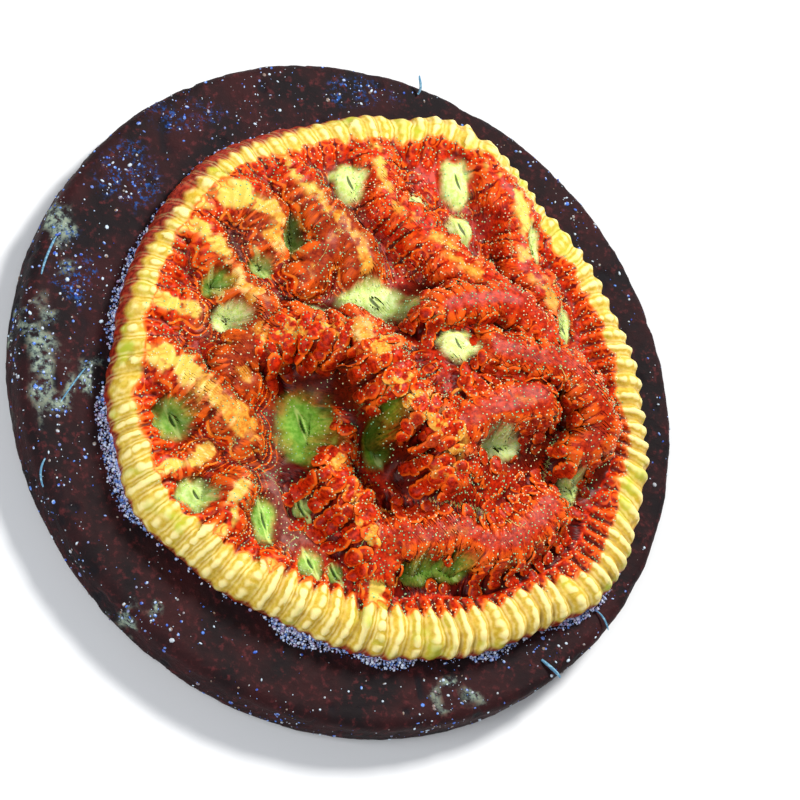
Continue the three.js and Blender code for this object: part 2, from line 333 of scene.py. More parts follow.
def blurred(values, reach):
    """Each cell of a map becomes the mean of the square of cells round it."""
    for axis in (0, 1):
        margin = [(0, 0), (0, 0)]
        margin[axis] = (reach + 1, reach)
        total = np.moveaxis(np.cumsum(np.pad(values, margin, mode="edge"), axis=axis), axis, 0)
        values = np.moveaxis((total[2 * reach + 1 :] - total[: -2 * reach - 1]) / (2 * reach + 1), 0, axis)
    return values


def within(x, y, centre, half):
    """1 inside an oval, falling along an S to 0 at its edge."""
    return smoothstep(1.15, 0.75, np.hypot((x - centre[0]) / half[0], (y - centre[1]) / half[1]))


# ---------------------------------------------------------------- the colony's form

def outline_radius(angle):
    """Radius of the outline at an angle: an S-shaped ease between the listed points."""
    degrees = np.mod(np.degrees(angle) - OUTLINE[0, 0], 360) + OUTLINE[0, 0]
    angles = np.append(OUTLINE[:, 0], OUTLINE[0, 0] + 360)
    radii = np.append(OUTLINE[:, 1], OUTLINE[0, 1])
    step = np.clip(np.searchsorted(angles, degrees, side="right") - 1, 0, len(angles) - 2)
    share = smoothstep(angles[step], angles[step + 1], degrees)
    return radii[step] * (1 - share) + radii[step + 1] * share


def outline_arc(angle):
    """Length along the outline from angle 0, stretched a little so that a whole number of ribs fits."""
    turn = np.linspace(0, TAU, 1441)
    radius = outline_radius(turn)
    steps = np.hypot(np.diff(radius * np.cos(turn)), np.diff(radius * np.sin(turn)))
    lengths = np.append(0, np.cumsum(steps))
    lengths *= round(lengths[-1] / RIM_PITCH) * RIM_PITCH / lengths[-1]
    return np.interp(np.mod(angle, TAU), turn, lengths)


def crest_course(crest):
    """A Catmull-Rom curve through the crest's points, cut into even steps: points and arc lengths."""
    listed = np.array(crest, dtype=float)
    padded = np.vstack([2 * listed[0] - listed[1], listed, 2 * listed[-1] - listed[-2]])
    t = np.linspace(0, 1, 24, endpoint=False)[:, None]
    runs = []
    for a, b, c, d in zip(padded, padded[1:], padded[2:], padded[3:]):
        runs.append(0.5 * (2 * b + (c - a) * t + (2 * a - 5 * b + 4 * c - d) * t**2
                           + (3 * b - a - 3 * c + d) * t**3))
    curve = np.vstack(runs + [listed[-1:]])
    lengths = np.append(0, np.cumsum(np.linalg.norm(np.diff(curve[:, :2], axis=0), axis=1)))
    arcs = np.linspace(0, lengths[-1], int(lengths[-1] / CREST_STEP) + 2)
    return np.stack([np.interp(arcs, lengths, curve[:, axis]) for axis in range(3)], axis=1), arcs


def measure_to(course, arcs, x, y):
    """From each place to a crest: distance, arc length, the crest's height there, side and heading.

    Round a crest's ends the arc length goes on as an angle times the distance, up to the fan's radius.
    """
    apart = (x[:, None] - course[None, :, 0]) ** 2 + (y[:, None] - course[None, :, 1]) ** 2
    nearest = apart.argmin(axis=1)
    tangents = np.gradient(course[:, :2], axis=0)
    tangents /= np.linalg.norm(tangents, axis=1, keepdims=True)
    heading = tangents[nearest]
    off_x, off_y = x - course[nearest, 0], y - course[nearest, 1]
    forward = off_x * heading[:, 0] + off_y * heading[:, 1]
    sideways = heading[:, 0] * off_y - heading[:, 1] * off_x
    inner = np.clip(forward, -CREST_STEP / 2, CREST_STEP / 2)
    inner = np.where((nearest == 0) & (forward < 0) | (nearest == len(course) - 1) & (forward > 0), 0, inner)
    beyond = forward - inner
    distance = np.hypot(sideways, beyond)
    fan = np.arctan2(beyond, np.abs(sideways) + 1e-6) * np.minimum(distance, FAN_RADIUS)
    slope = np.gradient(course[:, 2]) / CREST_STEP
    height = course[nearest, 2] + slope[nearest] * inner
    return distance, arcs[nearest] + inner + fan, height, np.sign(sideways), *heading.T


def ridge(distance, half):
    """A rounded ridge, 1 / (1 + (distance / half)^4): 1 on its crest, steep past its half-width."""
    return 1 / (1 + (distance / half) ** 4)


def floor_height(x, y):
    """Valley floor: level, lifted by swellings that fall off as exp(-reach cubed)."""
    total = np.full(x.shape, FLOOR_HEIGHT)
    for (cx, cy), (half_x, half_y), rise in SWELLINGS:
        total += rise * np.exp(-np.hypot((x - cx) / half_x, (y - cy) / half_y) ** 3)
    return total


class Lay:
    """What each place on the colony belongs to: its height, its wall, its distance from mouths and rim."""


def lay_of_the_land(x, y):
    """Blends floor, walls and rim into one height, and notes which wall rules each place.

    Height is floor + blend * log(1 + sum(exp(rise / blend) - 1)), then drawn to each mouth's own height
    within exp(-(distance / radius)^4). Outside the rim's crest the land counts as lying on it.
    """
    land = Lay()
    angle, inset = polar(x, y)
    land.x, land.y, land.angle, land.outline_inset = x, y, angle, inset
    inset = np.maximum(inset, RIM_INSET)
    floor = floor_height(x, y)
    count = len(x)
    blended = np.zeros(count)
    best = np.full(count, -1.0)
    second = np.zeros(count)
    traits = ("distance", "arc", "crest_height", "side", "heading_x", "heading_y", "half", "yellow", "wall",
              "pitch", "relief", "on_crest", "bead", "bead_low", "bead_high", "bead_left")
    for name in traits:
        setattr(land, name, np.zeros(count))
    land.lean = np.zeros((count, 2))

    rim = (np.abs(inset - RIM_INSET), outline_arc(angle), np.full(count, RIM_HEIGHT), np.zeros(count),
           -np.sin(angle), np.cos(angle))
    entries = [("rim", RIM_HALF_WIDTH, 0.8, (0, 0), rim)]
    for style, half, yellow, lean, crest in WALLS:
        entries.append((style, half, yellow, lean, measure_to(*crest_course(crest), x, y)))

    for number, (style, half, yellow, lean, measures) in enumerate(entries):
        distance, crest = measures[0], measures[2]
        shape = ridge(distance, half)
        rise = np.maximum(crest - floor, 0) * shape
        blended += np.expm1(rise / WALL_BLEND)
        land.lean += np.array(lean) * (shape**1.5)[:, None]
        wins = rise > best
        second = np.where(wins, np.maximum(best, 0), np.maximum(second, rise))
        best = np.where(wins, rise, best)
        for name, value in zip(traits, (*measures, half, yellow, number, *RIB_STYLES[style])):
            setattr(land, name, np.where(wins, value, getattr(land, name)))

    height = floor + WALL_BLEND * np.log1p(blended)
    land.rise = height - floor
    land.mouth = np.zeros(count)
    land.pale = np.zeros(count)
    land.mouth_reach = np.full(count, float(FAR))
    land.mouth_size = np.ones(count)
    land.mouth_angle = np.zeros(count)
    for mx, my, mouth_height, radius, pale, stretch_x, stretch_y in MOUTHS:
        dx, dy = (x - mx) / stretch_x, (y - my) / stretch_y
        reach = np.hypot(dx, dy) / radius
        inside = np.exp(-(reach**4))
        height = height * (1 - inside) + mouth_height * inside
        closer = reach < land.mouth_reach
        land.mouth_reach = np.where(closer, reach, land.mouth_reach)
        land.mouth_angle = np.where(closer, np.arctan2(dy, dx), land.mouth_angle)
        land.mouth_size = np.where(closer, radius, land.mouth_size)
        land.pale = np.where(closer, pale, land.pale)
        land.mouth = np.maximum(land.mouth, inside)
    land.height = height
    land.ruled = smoothstep(0, 0.3, (best - second) / (best + 0.15))
    land.inset = inset
    land.rim_arc = rim[1]
    land.reach = land.distance / land.half
    land.walled = land.wall > 0
    land.plain_crest = land.on_crest < 0.3
    return land


class Chart:
    """The colony's heights on an even raster, and how far each place lies below its wider surroundings, which
    the materials turn into painted shade.
    """

    PITCH = 0.2

    def __init__(self):
        """The land's height at each place, and the mean height within about 2.5 mm less that."""
        self.span = np.arange(-22, 27, self.PITCH)
        x, y = np.meshgrid(self.span, self.span, indexing="ij")
        self.height = lay_of_the_land(x.ravel(), y.ravel()).height.reshape(x.shape)
        self.sunk_shade = blurred(blurred(self.height, 6), 6) - self.height

    def read(self, values, x, y):
        """The map's value between its cells."""
        at_x, at_y = (x - self.span[0]) / self.PITCH, (y - self.span[0]) / self.PITCH
        i, j = at_x.astype(int), at_y.astype(int)
        u, v = at_x - i, at_y - j
        return ((values[i, j] * (1 - u) + values[i + 1, j] * u) * (1 - v)
                + (values[i, j + 1] * (1 - u) + values[i + 1, j + 1] * u) * v)


# ---------------------------------------------------------------- meshes

def face_normals(points, faces):
    """Normal of each four- or three-cornered face, as long as the face is large."""
    a, b, c = points[faces[:, 0]], points[faces[:, 1]], points[faces[:, 2]]
    if faces.shape[1] == 4:
        d = points[faces[:, 3]]
        return np.cross(c - a, d - b)
    return np.cross(b - a, c - a)


def vertex_normals(points, *face_sets):
    """Each vertex's normal: the sum of its faces' normals, made one long."""
    total = np.zeros_like(points)
    for faces in face_sets:
        normals = face_normals(points, faces)
        for corner in range(faces.shape[1]):
            for axis in range(3):
                total[:, axis] += np.bincount(faces[:, corner], normals[:, axis], len(points))
    return total / (np.linalg.norm(total, axis=1, keepdims=True) + 1e-12)


def new_piece(name, points, face_sets, attributes=None):
    """A smooth-shaded mesh object from points in millimetres and arrays of faces with 3 or 4 corners."""
    mesh = bpy.data.meshes.new(name)
    corners = np.concatenate([faces.ravel() for faces in face_sets])
    sizes = np.concatenate([np.full(len(faces), faces.shape[1]) for faces in face_sets])
    mesh.vertices.add(len(points))
    mesh.vertices.foreach_set("co", (points * MM).astype(np.float32).ravel())
    mesh.loops.add(len(corners))
    mesh.loops.foreach_set("vertex_index", corners.astype(np.int32))
    mesh.polygons.add(len(sizes))
    starts = np.append(0, np.cumsum(sizes)[:-1])
    mesh.polygons.foreach_set("loop_start", starts.astype(np.int32))
    mesh.update(calc_edges=True)
    mesh.shade_smooth()
    for key, values in (attributes or {}).items():
        layer = mesh.attributes.new(key, "FLOAT", "POINT")
        layer.data.foreach_set("value", np.asarray(values, dtype=np.float32))
    mesh.validate()
    piece = bpy.data.objects.new(name, mesh)
    bpy.context.scene.collection.objects.link(piece)
    return piece


def round_grid(side):
    """A square grid pressed into a circle: radius and angle of each point, row by row.

    The larger of the two square coordinates is the radius, and their ratio gives the angle within a
    quarter turn, so the grid's border becomes an even ring.
    """
    a, b = np.meshgrid(np.linspace(-1, 1, side + 1), np.linspace(-1, 1, side + 1), indexing="ij")
    wide = np.abs(a) >= np.abs(b)
    with np.errstate(divide="ignore", invalid="ignore"):
        angle = np.where(wide, math.pi / 4 * b / a, math.pi / 2 - math.pi / 4 * a / b)
    radius = np.where(wide, a, b)
    angle = np.nan_to_num(angle)
    angle = np.where(radius < 0, angle + math.pi, angle)
    return np.abs(radius).ravel(), np.mod(angle, TAU).ravel()


def grid_border(side):
    """Indices of the grid's border points, once round against the clock, starting at angle -45 degrees."""
    index = np.arange((side + 1) ** 2).reshape(side + 1, side + 1)
    return np.concatenate([index[-1, :-1], index[:0:-1, -1], index[0, :0:-1], index[:-1, 0]])


def polar(x, y):
    """Angle and inset from the outline of places in the plan."""
    angle = np.mod(np.arctan2(y - COLONY_CENTRE[1], x - COLONY_CENTRE[0]), TAU)
    return angle, outline_radius(angle) - np.hypot(x - COLONY_CENTRE[0], y - COLONY_CENTRE[1])


def crowd_onto_slopes(x, y, chart):
    """Moves the middle grid's points in plan until steep flanks have their share of points for their area.

    Each point goes to the mean of its four neighbours, weighted by its distance to each in space.
    """
    spread = np.stack([x, y], axis=-1).reshape(GRID_SIDE + 1, GRID_SIDE + 1, 2)
    for _ in range(SLOPE_PASSES):
        z = chart.read(chart.height, spread[..., 0], spread[..., 1])
        solid = np.concatenate([spread, SLOPE_WEIGHT * z[..., None]], axis=-1)
        core, total, weight = solid[1:-1, 1:-1], 0, 0
        for near in (solid[2:, 1:-1], solid[:-2, 1:-1], solid[1:-1, 2:], solid[1:-1, :-2]):
            apart = np.linalg.norm(near - core, axis=-1, keepdims=True)
            total = total + apart * near[..., :2]
            weight = weight + apart
        spread[1:-1, 1:-1] += 0.8 * (total / weight - core[..., :2])
    return spread[..., 0].ravel(), spread[..., 1].ravel()


def colony_grid(chart):
    """The colony's points in plan, how far each turns down round the rim, and its faces.

    A round grid covers the middle. Rings go on from its border over the rim: flat rings as far as the rim's
    crest, then rings that turn down and under at even angles.
    """
    share, angle = round_grid(GRID_SIDE)
    inner_reach = outline_radius(angle) - RIM_BAND
    mean_reach = outline_radius(np.linspace(0, TAU, 90)).mean() - RIM_BAND
    reach = share * (mean_reach * (1 - share**2) + inner_reach * share**2)
    x, y = COLONY_CENTRE[0] + reach * np.cos(angle), COLONY_CENTRE[1] + reach * np.sin(angle)
    x, y = crowd_onto_slopes(x, y, chart)

    border = grid_border(GRID_SIDE)
    columns = len(border)
    flat = RIM_BAND + (RIM_INSET - RIM_BAND) * np.arange(1, RIM_FLAT_RINGS + 1) / RIM_FLAT_RINGS
    turn = math.pi / 2 - (math.pi / 2 + RIM_UNDERCUT) * np.arange(1, RIM_ROUND_RINGS + 1) / RIM_ROUND_RINGS
    ring_inset = np.repeat(np.concatenate([flat, RIM_INSET * (1 - np.cos(turn))]), columns)
    ring_turn = np.concatenate([np.full(RIM_FLAT_RINGS, math.pi / 2), turn])
    ring_angle = np.tile(angle[border], len(ring_turn))
    ring_reach = outline_radius(ring_angle) - ring_inset
    x = np.append(x, COLONY_CENTRE[0] + ring_reach * np.cos(ring_angle))
    y = np.append(y, COLONY_CENTRE[1] + ring_reach * np.sin(ring_angle))
    down = np.concatenate([np.full(len(share), math.pi / 2), np.repeat(ring_turn, columns)])

    square = np.arange((GRID_SIDE + 1) ** 2).reshape(GRID_SIDE + 1, GRID_SIDE + 1)
    corners = [square[:-1, :-1], square[1:, :-1], square[1:, 1:], square[:-1, 1:]]
    middle = np.stack(corners, axis=-1).reshape(-1, 4)
    rings = np.vstack([border, np.arange(len(ring_inset)).reshape(-1, columns) + square.size])
    return x, y, down, middle, rings


def ring_faces(rings):
    """Four-cornered faces between each ring of indices and the next one outwards."""
    after = np.roll(rings, -1, axis=1)
    return np.stack([rings[:-1], rings[1:], after[1:], after[:-1]], axis=-1).reshape(-1, 4)


def ribs(land, points):
    """Rounded ribs across each wall and round the rim, each a row of stacked beads.

    Across a rib u runs from -1 to 1, and along each of its beads v does too. The cross-section is
    sqrt(1 - u^2) on walls and 0.5 + 0.5 cos(pi u) on the rim, and a bead's outline is sqrt(1 - v^2). Adds to
    the land: u, v, a key for each bead, how strongly ribs show here (window), their height (body), where beads
    stand free (beaded), where the lip under the rim starts, and the direction across the ribs.
    """
    plan, height = points[:, :2], points[:, 2]
    upper_left, lower_right = (np.clip(np.cos(land.angle - at), 0, 1) for at in (2.3, -0.7))
    land.lip_start = 0.95 - 0.72 * upper_left**2 - 0.25 * lower_right**2
    near_rim = smoothstep(3.5, 2.5, land.inset + 0.4 * lumps(plan, 1.5, 9))
    of_rim = (land.wall == 0) | (near_rim > 0.5)
    pitch = np.where(of_rim, RIM_PITCH, land.pitch)
    bead = np.where(of_rim, RIM_BEAD, land.bead)
    wander = 0.2 * lumps(plan, 2.2, 5) + 0.08 * lumps(plan, 0.9, 6)
    wander += np.where(of_rim, 0.55 * lumps(np.stack([land.rim_arc, 0 * land.arc], axis=1), 5.0, 15), 0)
    phase = np.where(of_rim, land.rim_arc, land.arc) / pitch + wander + 0.5 * (land.side > 0) * ~of_rim
    wall_run = land.distance + 0.8 * np.maximum(land.crest_height - height, 0)
    run = np.where(of_rim, land.inset - 2.6 * land.outer, wall_run)
    rib = np.round(phase)
    key = np.stack([rib, np.where(of_rim, 0, land.wall), np.where(of_rim, 0, land.side)], axis=-1)
    steps = run / (bead * (0.75 + 0.5 * chance(key, 4))) + chance(key, 3)
    land.u = 2 * (phase - rib)
    land.v = 2 * np.mod(steps, 1) - 1
    land.key = np.column_stack([key, np.floor(steps)]).astype(np.int64)
    land.cell = np.stack([pitch, bead], axis=-1)
    land.of_rim, land.near_rim, land.phase, land.steps = of_rim, near_rim, phase, steps

    reach = land.reach
    on_flank = smoothstep(0.25, 0.85, reach)
    on_top = land.on_crest * (1 - on_flank) * np.where(land.bead_low < 0, 1, smoothstep(0.05, 0.4, reach))
    fade = smoothstep(land.bead_high + 0.5, land.bead_high - 0.3, reach)
    fade = fade * smoothstep(4.4, 3.2, land.crest_height - height)
    on_wall = (on_top + on_flank) * fade * land.ruled * smoothstep(0.5, 0.1, near_rim)
    on_rim = smoothstep(7.0, 3.2, land.inset) * np.where(land.wall == 0, 1, smoothstep(0.5, 0.9, near_rim))
    on_rim = on_rim * (1 - 0.6 * smoothstep(land.lip_start - 0.2, land.lip_start + 0.1, land.outer))
    land.window = np.where(of_rim, on_rim, on_wall) * (1 - land.mouth)

    beaded = smoothstep(land.bead_low - 0.15, land.bead_low + 0.1, reach)
    on_left = smoothstep(land.bead_left + 0.2, land.bead_left - 0.2, reach)
    beaded = beaded * np.where(land.side > 0, on_left, 1)
    land.beaded = np.where(of_rim, 0, beaded) * smoothstep(0.15, 0.6, land.window)
    stacked = np.where(of_rim, 0.2, 0.35) * (0.3 + 1.4 * chance(land.key, 19))
    round_rib = np.sqrt(np.clip(1 - land.u**2, 0, 1))
    profile = np.where(of_rim, 0.5 + 0.5 * np.cos(math.pi * land.u), round_rib)
    land.body = profile * (1 - stacked * (1 - np.sqrt(np.clip(1 - land.v**2, 0, 1))))
    across_x = np.where(of_rim, -np.sin(land.angle), land.heading_x)
    across_y = np.where(of_rim, np.cos(land.angle), land.heading_y)
    land.across = np.stack([across_x, across_y, np.zeros(len(reach))], axis=1)


def lean_over(points, quads, land, free):
    """Makes the land uneven, then leans its walls and bulges them over their own feet in scallops.

    The bulge is 0.6 mm along the normal in plan, times 0.75 + 0.45 cos(arc / 2.3 mm turns), within
    exp(-((reach - 0.9) / 0.4)^2), where reach is the distance from the crest in half-widths.
    """
    points[:, 2] += 0.22 * rough(points, 4.0, 11) * free[:, 0]
    points[:, :2] += land.lean * free
    normals = vertex_normals(points, quads)
    land.wave = np.cos(TAU * (land.arc / 2.3 + 0.5 * lumps(points[:, :2], 3.5, 13)) + land.side)
    scallop = 0.75 + 0.45 * land.wave
    bulge = 0.6 * scallop * np.exp(-(((land.reach - 0.9) / 0.4) ** 2)) * np.clip(land.rise / 2.5, 0, 1)
    bulge = bulge * land.walled
    points[:, :2] += normals[:, :2] * bulge[:, None] * free


def relief(points, quads, land):
    """How far each vertex moves along its normal.

    It is the sum of the ribs' body where they show, folds of 0.06 cos(run / 0.45 mm turns) at the feet of
    fleshy walls, a dent under free beads, noise, ripples of 0.07 cos(arc / 0.75 mm turns) over fleshy crests
    and the mouths' own relief. Near places where the count of ribs jumps they fade out.
    """
    plan, reach = points[:, :2], land.reach
    land.fold_run = land.distance - 0.16 * land.wave + 0.22 * lumps(points, 1.2, 61)
    land.shoulder = reach - 0.14 * land.wave + 0.14 * lumps(plan, 1.4, 63) + 0.05 * lumps(plan, 0.5, 64)
    fleshy = land.walled * land.plain_crest
    folded = smoothstep(0.85, 1.1, reach) * smoothstep(2.1, 1.6, reach + 0.5 * lumps(plan, 2.5, 62))
    land.folded = folded * fleshy * (1 - land.mouth) * (1 - land.near_rim)
    land.calm = steady(quads, land.phase)
    for _ in range(2):
        land.calm = neighbour_mean(quads, land.calm)
    rim_rise = RIM_RISE * (0.7 + 0.5 * np.clip(np.cos(land.angle + 0.9), 0, 1))
    moved = np.where(land.of_rim, rim_rise, land.relief) * land.window * land.calm * (land.body - 0.6)
    moved += 0.06 * np.cos(TAU * land.fold_run / 0.45) * land.folded - 0.2 * land.beaded
    moved += 0.05 * rough(points, 0.9, 21) + 0.15 * rough(points, 1.2, 27) * smoothstep(4.0, 2.5, land.inset)
    ripple = np.cos(TAU * (land.arc / 0.75 + 0.3 * lumps(plan, 1.5, 65))) * np.exp(-(reach**4))
    moved += 0.07 * ripple * smoothstep(9, 6, land.inset) * fleshy * (1 - land.near_rim)
    return moved + mouth_relief(land)


def flesh_marks(points, quads, land):
    """Numbers from the land that the materials colour by, one for each vertex."""
    reach, inset = land.reach, land.inset
    fleshy = land.plain_crest & ~land.of_rim
    outside = 1 - land.mouth
    brown = sum(within(land.x, land.y, centre, half) for centre, half in BROWN_VALLEYS)
    soft = np.where(fleshy, 1, 0.4) * (land.on_crest < 0.4) * land.walled
    soft = soft * smoothstep(4.5, 6, inset + land.yellow)
    # where a painted glow line may show along the shoulders
    edge_glow = np.where(fleshy, 1, 0.8 * (land.on_crest < 0.4)) * land.walled
    bottom, left = (np.clip(np.cos(land.angle - at), 0, 1) for at in (-1.5, 3.2))
    band = 2.3 + 0.7 * bottom**2 - 0.8 * left**2
    tongues = 0.5 * lumps(points, 1.3, 31) + 0.4 * np.abs(land.u) * (inset > RIM_INSET)
    scallops = 0.1 * lumps(points, 2.0, 33) + 0.16 * np.abs(land.u) - 0.08
    # painted shade: the lower part of each tall flank is darkened
    shaded_low_flank = smoothstep(2.8, 4.4, land.crest_height - points[:, 2]) * smoothstep(2.8, 1.9, reach) * land.walled
    # painted shade: places that lie below their surroundings are darkened, as shade falls in hollows
    sunk_shade = smoothstep(0.25, 1.3, land.sunk_shade) * (1 - 0.9 * land.mouth * land.pale)
    ribbed = land.window * (1 - land.beaded) * np.where(fleshy, 0.3, 1) * steady(quads, land.phase)
    ribbed = ribbed * land.calm**4
    ribbed = ribbed * np.where(land.of_rim, 1 - 0.6 * smoothstep(band + 0.2, band + 0.8, inset), 1)
    ribbed = ribbed * steady(quads, np.where(np.abs(land.u) < 0.85, land.steps, np.nan))
    return {
        "crest": np.exp(-((reach / 0.6) ** 2)) * land.yellow * outside * land.walled,
        "veil": soft * np.minimum(land.yellow * 4, 1) * outside,
        "edge_glow": edge_glow * outside * (1 - land.near_rim),
        "shoulder": np.clip(land.shoulder, 0, 3),
        "rim": smoothstep(0.35, -0.35, land.outline_inset - band + tongues),
        "lemon": smoothstep(7.5, 3.5, inset),
        "lip": smoothstep(0, 0.2, land.outer - land.lip_start + scallops),
        "fold_run": land.fold_run,
        "folded": land.folded,
        "beaded": land.beaded,
        "floor": np.clip(brown, 0, 1) * smoothstep(1.4, 0.4, land.rise) * outside,
        "mouth": mouth_mask(land, points),
        "bare": smoothstep(0.9, 0.5, land.mouth_reach),
        "slit_across": land.slit_across,
        "slit_along": land.slit_along,
        "phase": land.phase,
        "steps": land.steps,
        "ribs": ribbed,
        "pale": land.pale,
        # painted shade in hollows and on low flanks, lighter in pale mouths
        "sunk_shade": np.maximum(sunk_shade, 0.95 * shaded_low_flank * (1 - 0.6 * land.mouth)) * (inset > 2),
        # painted shade in a band along the foot of each wall
        "foot": np.exp(-(((reach - 1.75) / 0.4) ** 2)) * land.walled * (inset > 3),
    }


def colony():
    """The whole colony as one closed skin: broad form, overhanging walls, then ribs, folds and mouths.

    Past the rim's crest a point at the turn t stands at the bulge's height plus sin(t) times the rise above
    it, and below the bulge its height falls as sin(t) to the disc. A flat fan closes the skin there.
    """
    chart = Chart()
    x, y, turn, middle, rings = colony_grid(chart)
    land = lay_of_the_land(x, y)
    land.sunk_shade = chart.read(chart.sunk_shade, x, y)
    rounding = turn < math.pi / 2 - 1e-6
    land.outer = np.where(rounding, 1 - turn / (math.pi / 2), 0)
    turned = np.where(np.sin(turn) > 0, (land.height - RIM_BULGE_HEIGHT) * np.sin(turn),
                      RIM_BULGE_HEIGHT * np.sin(turn) / math.sin(RIM_UNDERCUT))
    points = np.stack([x, y, np.where(rounding, RIM_BULGE_HEIGHT + turned, land.height)], axis=1)
    quads = np.vstack([middle, ring_faces(rings)])
    foot = rings[-1]
    free = np.ones((len(points), 1))
    free[foot] = 0

    lean_over(points, quads, land, free)
    normals = vertex_normals(points, quads)
    ribs(land, points)
    points += normals * relief(points, quads, land)[:, None] * free
    points[foot, 2] = 0

    marks = {name: np.append(values, 0) for name, values in flesh_marks(points, quads, land).items()}
    centre = len(points)
    points = np.vstack([points, [[*COLONY_CENTRE, 0.0]]])
    fan = np.stack([np.roll(foot, -1), foot, np.full(len(foot), centre)], axis=1)
    normals = vertex_normals(points, quads, fan)
    # hollowness of the skin, which the materials turn into painted shade in hollows and painted highlights on
    # bumps
    marks["hollow"] = hollowness(points, normals, quads)
    points += [*PLAN_SHIFT, DISC_TOP]
    return new_piece("colony_flesh", points, (quads, fan), marks), points, normals, quads, marks, land


def steady(quads, phase):
    """0 at vertices where the count of ribs jumps along an edge, 1 elsewhere."""
    jumps = np.zeros(len(phase))
    for start in range(4):
        a, b = quads[:, start], quads[:, (start + 1) % 4]
        jumped = np.abs(phase[a] - phase[b]) > 0.4
        jumps[a[jumped]] = 1
        jumps[b[jumped]] = 1
    return 1 - jumps


def mouth_relief(land):
    """A low cushion in each mouth with a lip round it and a narrow slit across it.

    With reach in mouth radii, the cushion is 0.3 exp(-(reach / 0.75)^4) and the moat round it
    0.1 exp(-((reach - 1.05) / 0.2)^2). The slit is 0.12 exp(-(across / 0.2)^2 - (along / 0.5)^4) deep.
    """
    reach = land.mouth_reach
    small = np.clip(land.mouth_size, 0.6, 1.4)
    cushion = 0.3 * small * np.exp(-((reach / 0.75) ** 4)) - 0.1 * np.exp(-(((reach - 1.05) / 0.2) ** 2))
    along = reach * land.mouth_size * np.cos(land.mouth_angle + 1.1)
    across = reach * land.mouth_size * np.sin(land.mouth_angle + 1.1)
    land.slit_across, land.slit_along = np.clip(across / 0.13, -6, 6), np.clip(along / 0.6, -6, 6)
    lip = 0.1 * np.exp(-(((np.hypot(across * 1.5, along) - 0.5) / 0.17) ** 2))
    return cushion - 0.12 * np.exp(-((across / 0.2) ** 2) - (along / 0.5) ** 4) + lip


def mouth_mask(land, points):
    """1 in a mouth, falling off along an edge that noise makes ragged, and wider the greener the mouth is."""
    ragged = 0.2 * lumps(points, 0.8, 41) + 0.1 * lumps(points, 0.35, 42)
    soft = 0.17 + 0.22 * (1 - land.pale)
    return smoothstep(0.88 + soft, 0.88 - soft, land.mouth_reach + ragged)


def neighbour_mean(quads, values):
    """Each vertex takes the mean of the values at the far ends of its edges."""
    edges = np.vstack([quads[:, [0, 1]], quads[:, [1, 2]], quads[:, [2, 3]], quads[:, [3, 0]]])
    start = np.concatenate([edges[:, 0], edges[:, 1]])
    end = np.concatenate([edges[:, 1], edges[:, 0]])
    count = np.maximum(np.bincount(start, minlength=len(values)), 1)
    return np.bincount(start, values[end], len(values)) / count


def hollowness(points, normals, quads):
    """How far each vertex lies under (positive) or over (negative) the mean of its neighbours, from -1 to 1.

    It is that distance along the normal over 0.02 mm, averaged twice with its neighbours' and clipped.
    """
    around = np.stack([neighbour_mean(quads, points[:, axis]) for axis in range(3)], axis=1)
    bend = np.einsum("ij,ij->i", around - points, normals)
    for _ in range(2):
        bend = 0.5 * bend + 0.5 * neighbour_mean(quads, bend)
    return np.clip(bend / 0.02, -1, 1)


# ---------------------------------------------------------------- small growths

def spots_on(points, normals, quads, weight, count, spacing, seed):
    """Random places on a skin, likelier where weight is high, at least about one spacing apart."""
    rng = np.random.default_rng(seed)
    area = np.linalg.norm(face_normals(points, quads), axis=1) * weight[quads].mean(axis=1)
    face = quads[rng.choice(len(quads), count, p=area / area.sum())]
    u, v = rng.random((2, count, 1))

    def blended(values):
        a, b, c, d = (values[face[:, corner]] for corner in range(4))
        return (a * (1 - u) + b * u) * (1 - v) + (d * (1 - u) + c * u) * v

    place, normal = blended(points), blended(normals)
    cell = np.floor(place / spacing).astype(np.int64)
    kept = np.unique(cell, axis=0, return_index=True)[1]
    kept.sort()
    normal = normal / np.linalg.norm(normal, axis=1, keepdims=True)
    return place[kept], normal[kept]


def domes(name, place, normal, across, half, sides, angles, marks=None, wobble=0.0):
    """Small closed domes, one at each place, as one mesh.

    A dome is the part of an ellipsoid from its tip down to the last of the given angles from the tip: rings
    of (sin(angle), cos(angle)) times the half-sizes across, along and up, closed flat below. The mark "share"
    runs from 0 at the tip to 1 at the lowest ring.
    """
    right = across - normal * np.einsum("ij,ij->i", across, normal)[:, None]
    right /= np.linalg.norm(right, axis=1, keepdims=True) + 1e-9
    front = np.cross(normal, right)
    turn = np.arange(sides) * TAU / sides
    around = (right[:, None] * half[:, :1, None] * np.cos(turn)[None, :, None]
              + front[:, None] * half[:, 1:2, None] * np.sin(turn)[None, :, None])
    lift = (normal * half[:, 2:])[:, None]
    rings = [place[:, None] + around * math.sin(angle) + lift * math.cos(angle) for angle in angles]
    block = np.concatenate([*rings, place[:, None] + lift], axis=1)
    each = block.shape[1]
    s = np.arange(sides)
    n = (s + 1) % sides
    walls = [np.stack([s, n, n - sides, s - sides], axis=1) + ring * sides for ring in range(1, len(angles))]
    cap = np.stack([s, n, np.full(sides, each - 1)], axis=1)
    low = (len(angles) - 1) * sides
    base = np.stack([np.zeros(sides - 2, int), s[2:], s[1:-1]], axis=1) + low
    offset = (np.arange(len(place)) * each)[:, None, None]
    faces = [(np.vstack([cap, base])[None] + offset).reshape(-1, 3)]
    if walls:
        faces.append((np.vstack(walls)[None] + offset).reshape(-1, 4))
    share = np.append(np.repeat(np.array(angles) / angles[-1], sides), 0)
    spread = {key: np.repeat(values, each) for key, values in (marks or {}).items()}
    spread["share"] = np.tile(share, len(place))
    points = block.reshape(-1, 3)
    if wobble:
        points = points + wobble * np.stack([lumps(points, 0.55, 301 + axis) for axis in range(3)], axis=1)
    return new_piece(name, points, faces, spread), points, vertex_normals(points, *faces), faces


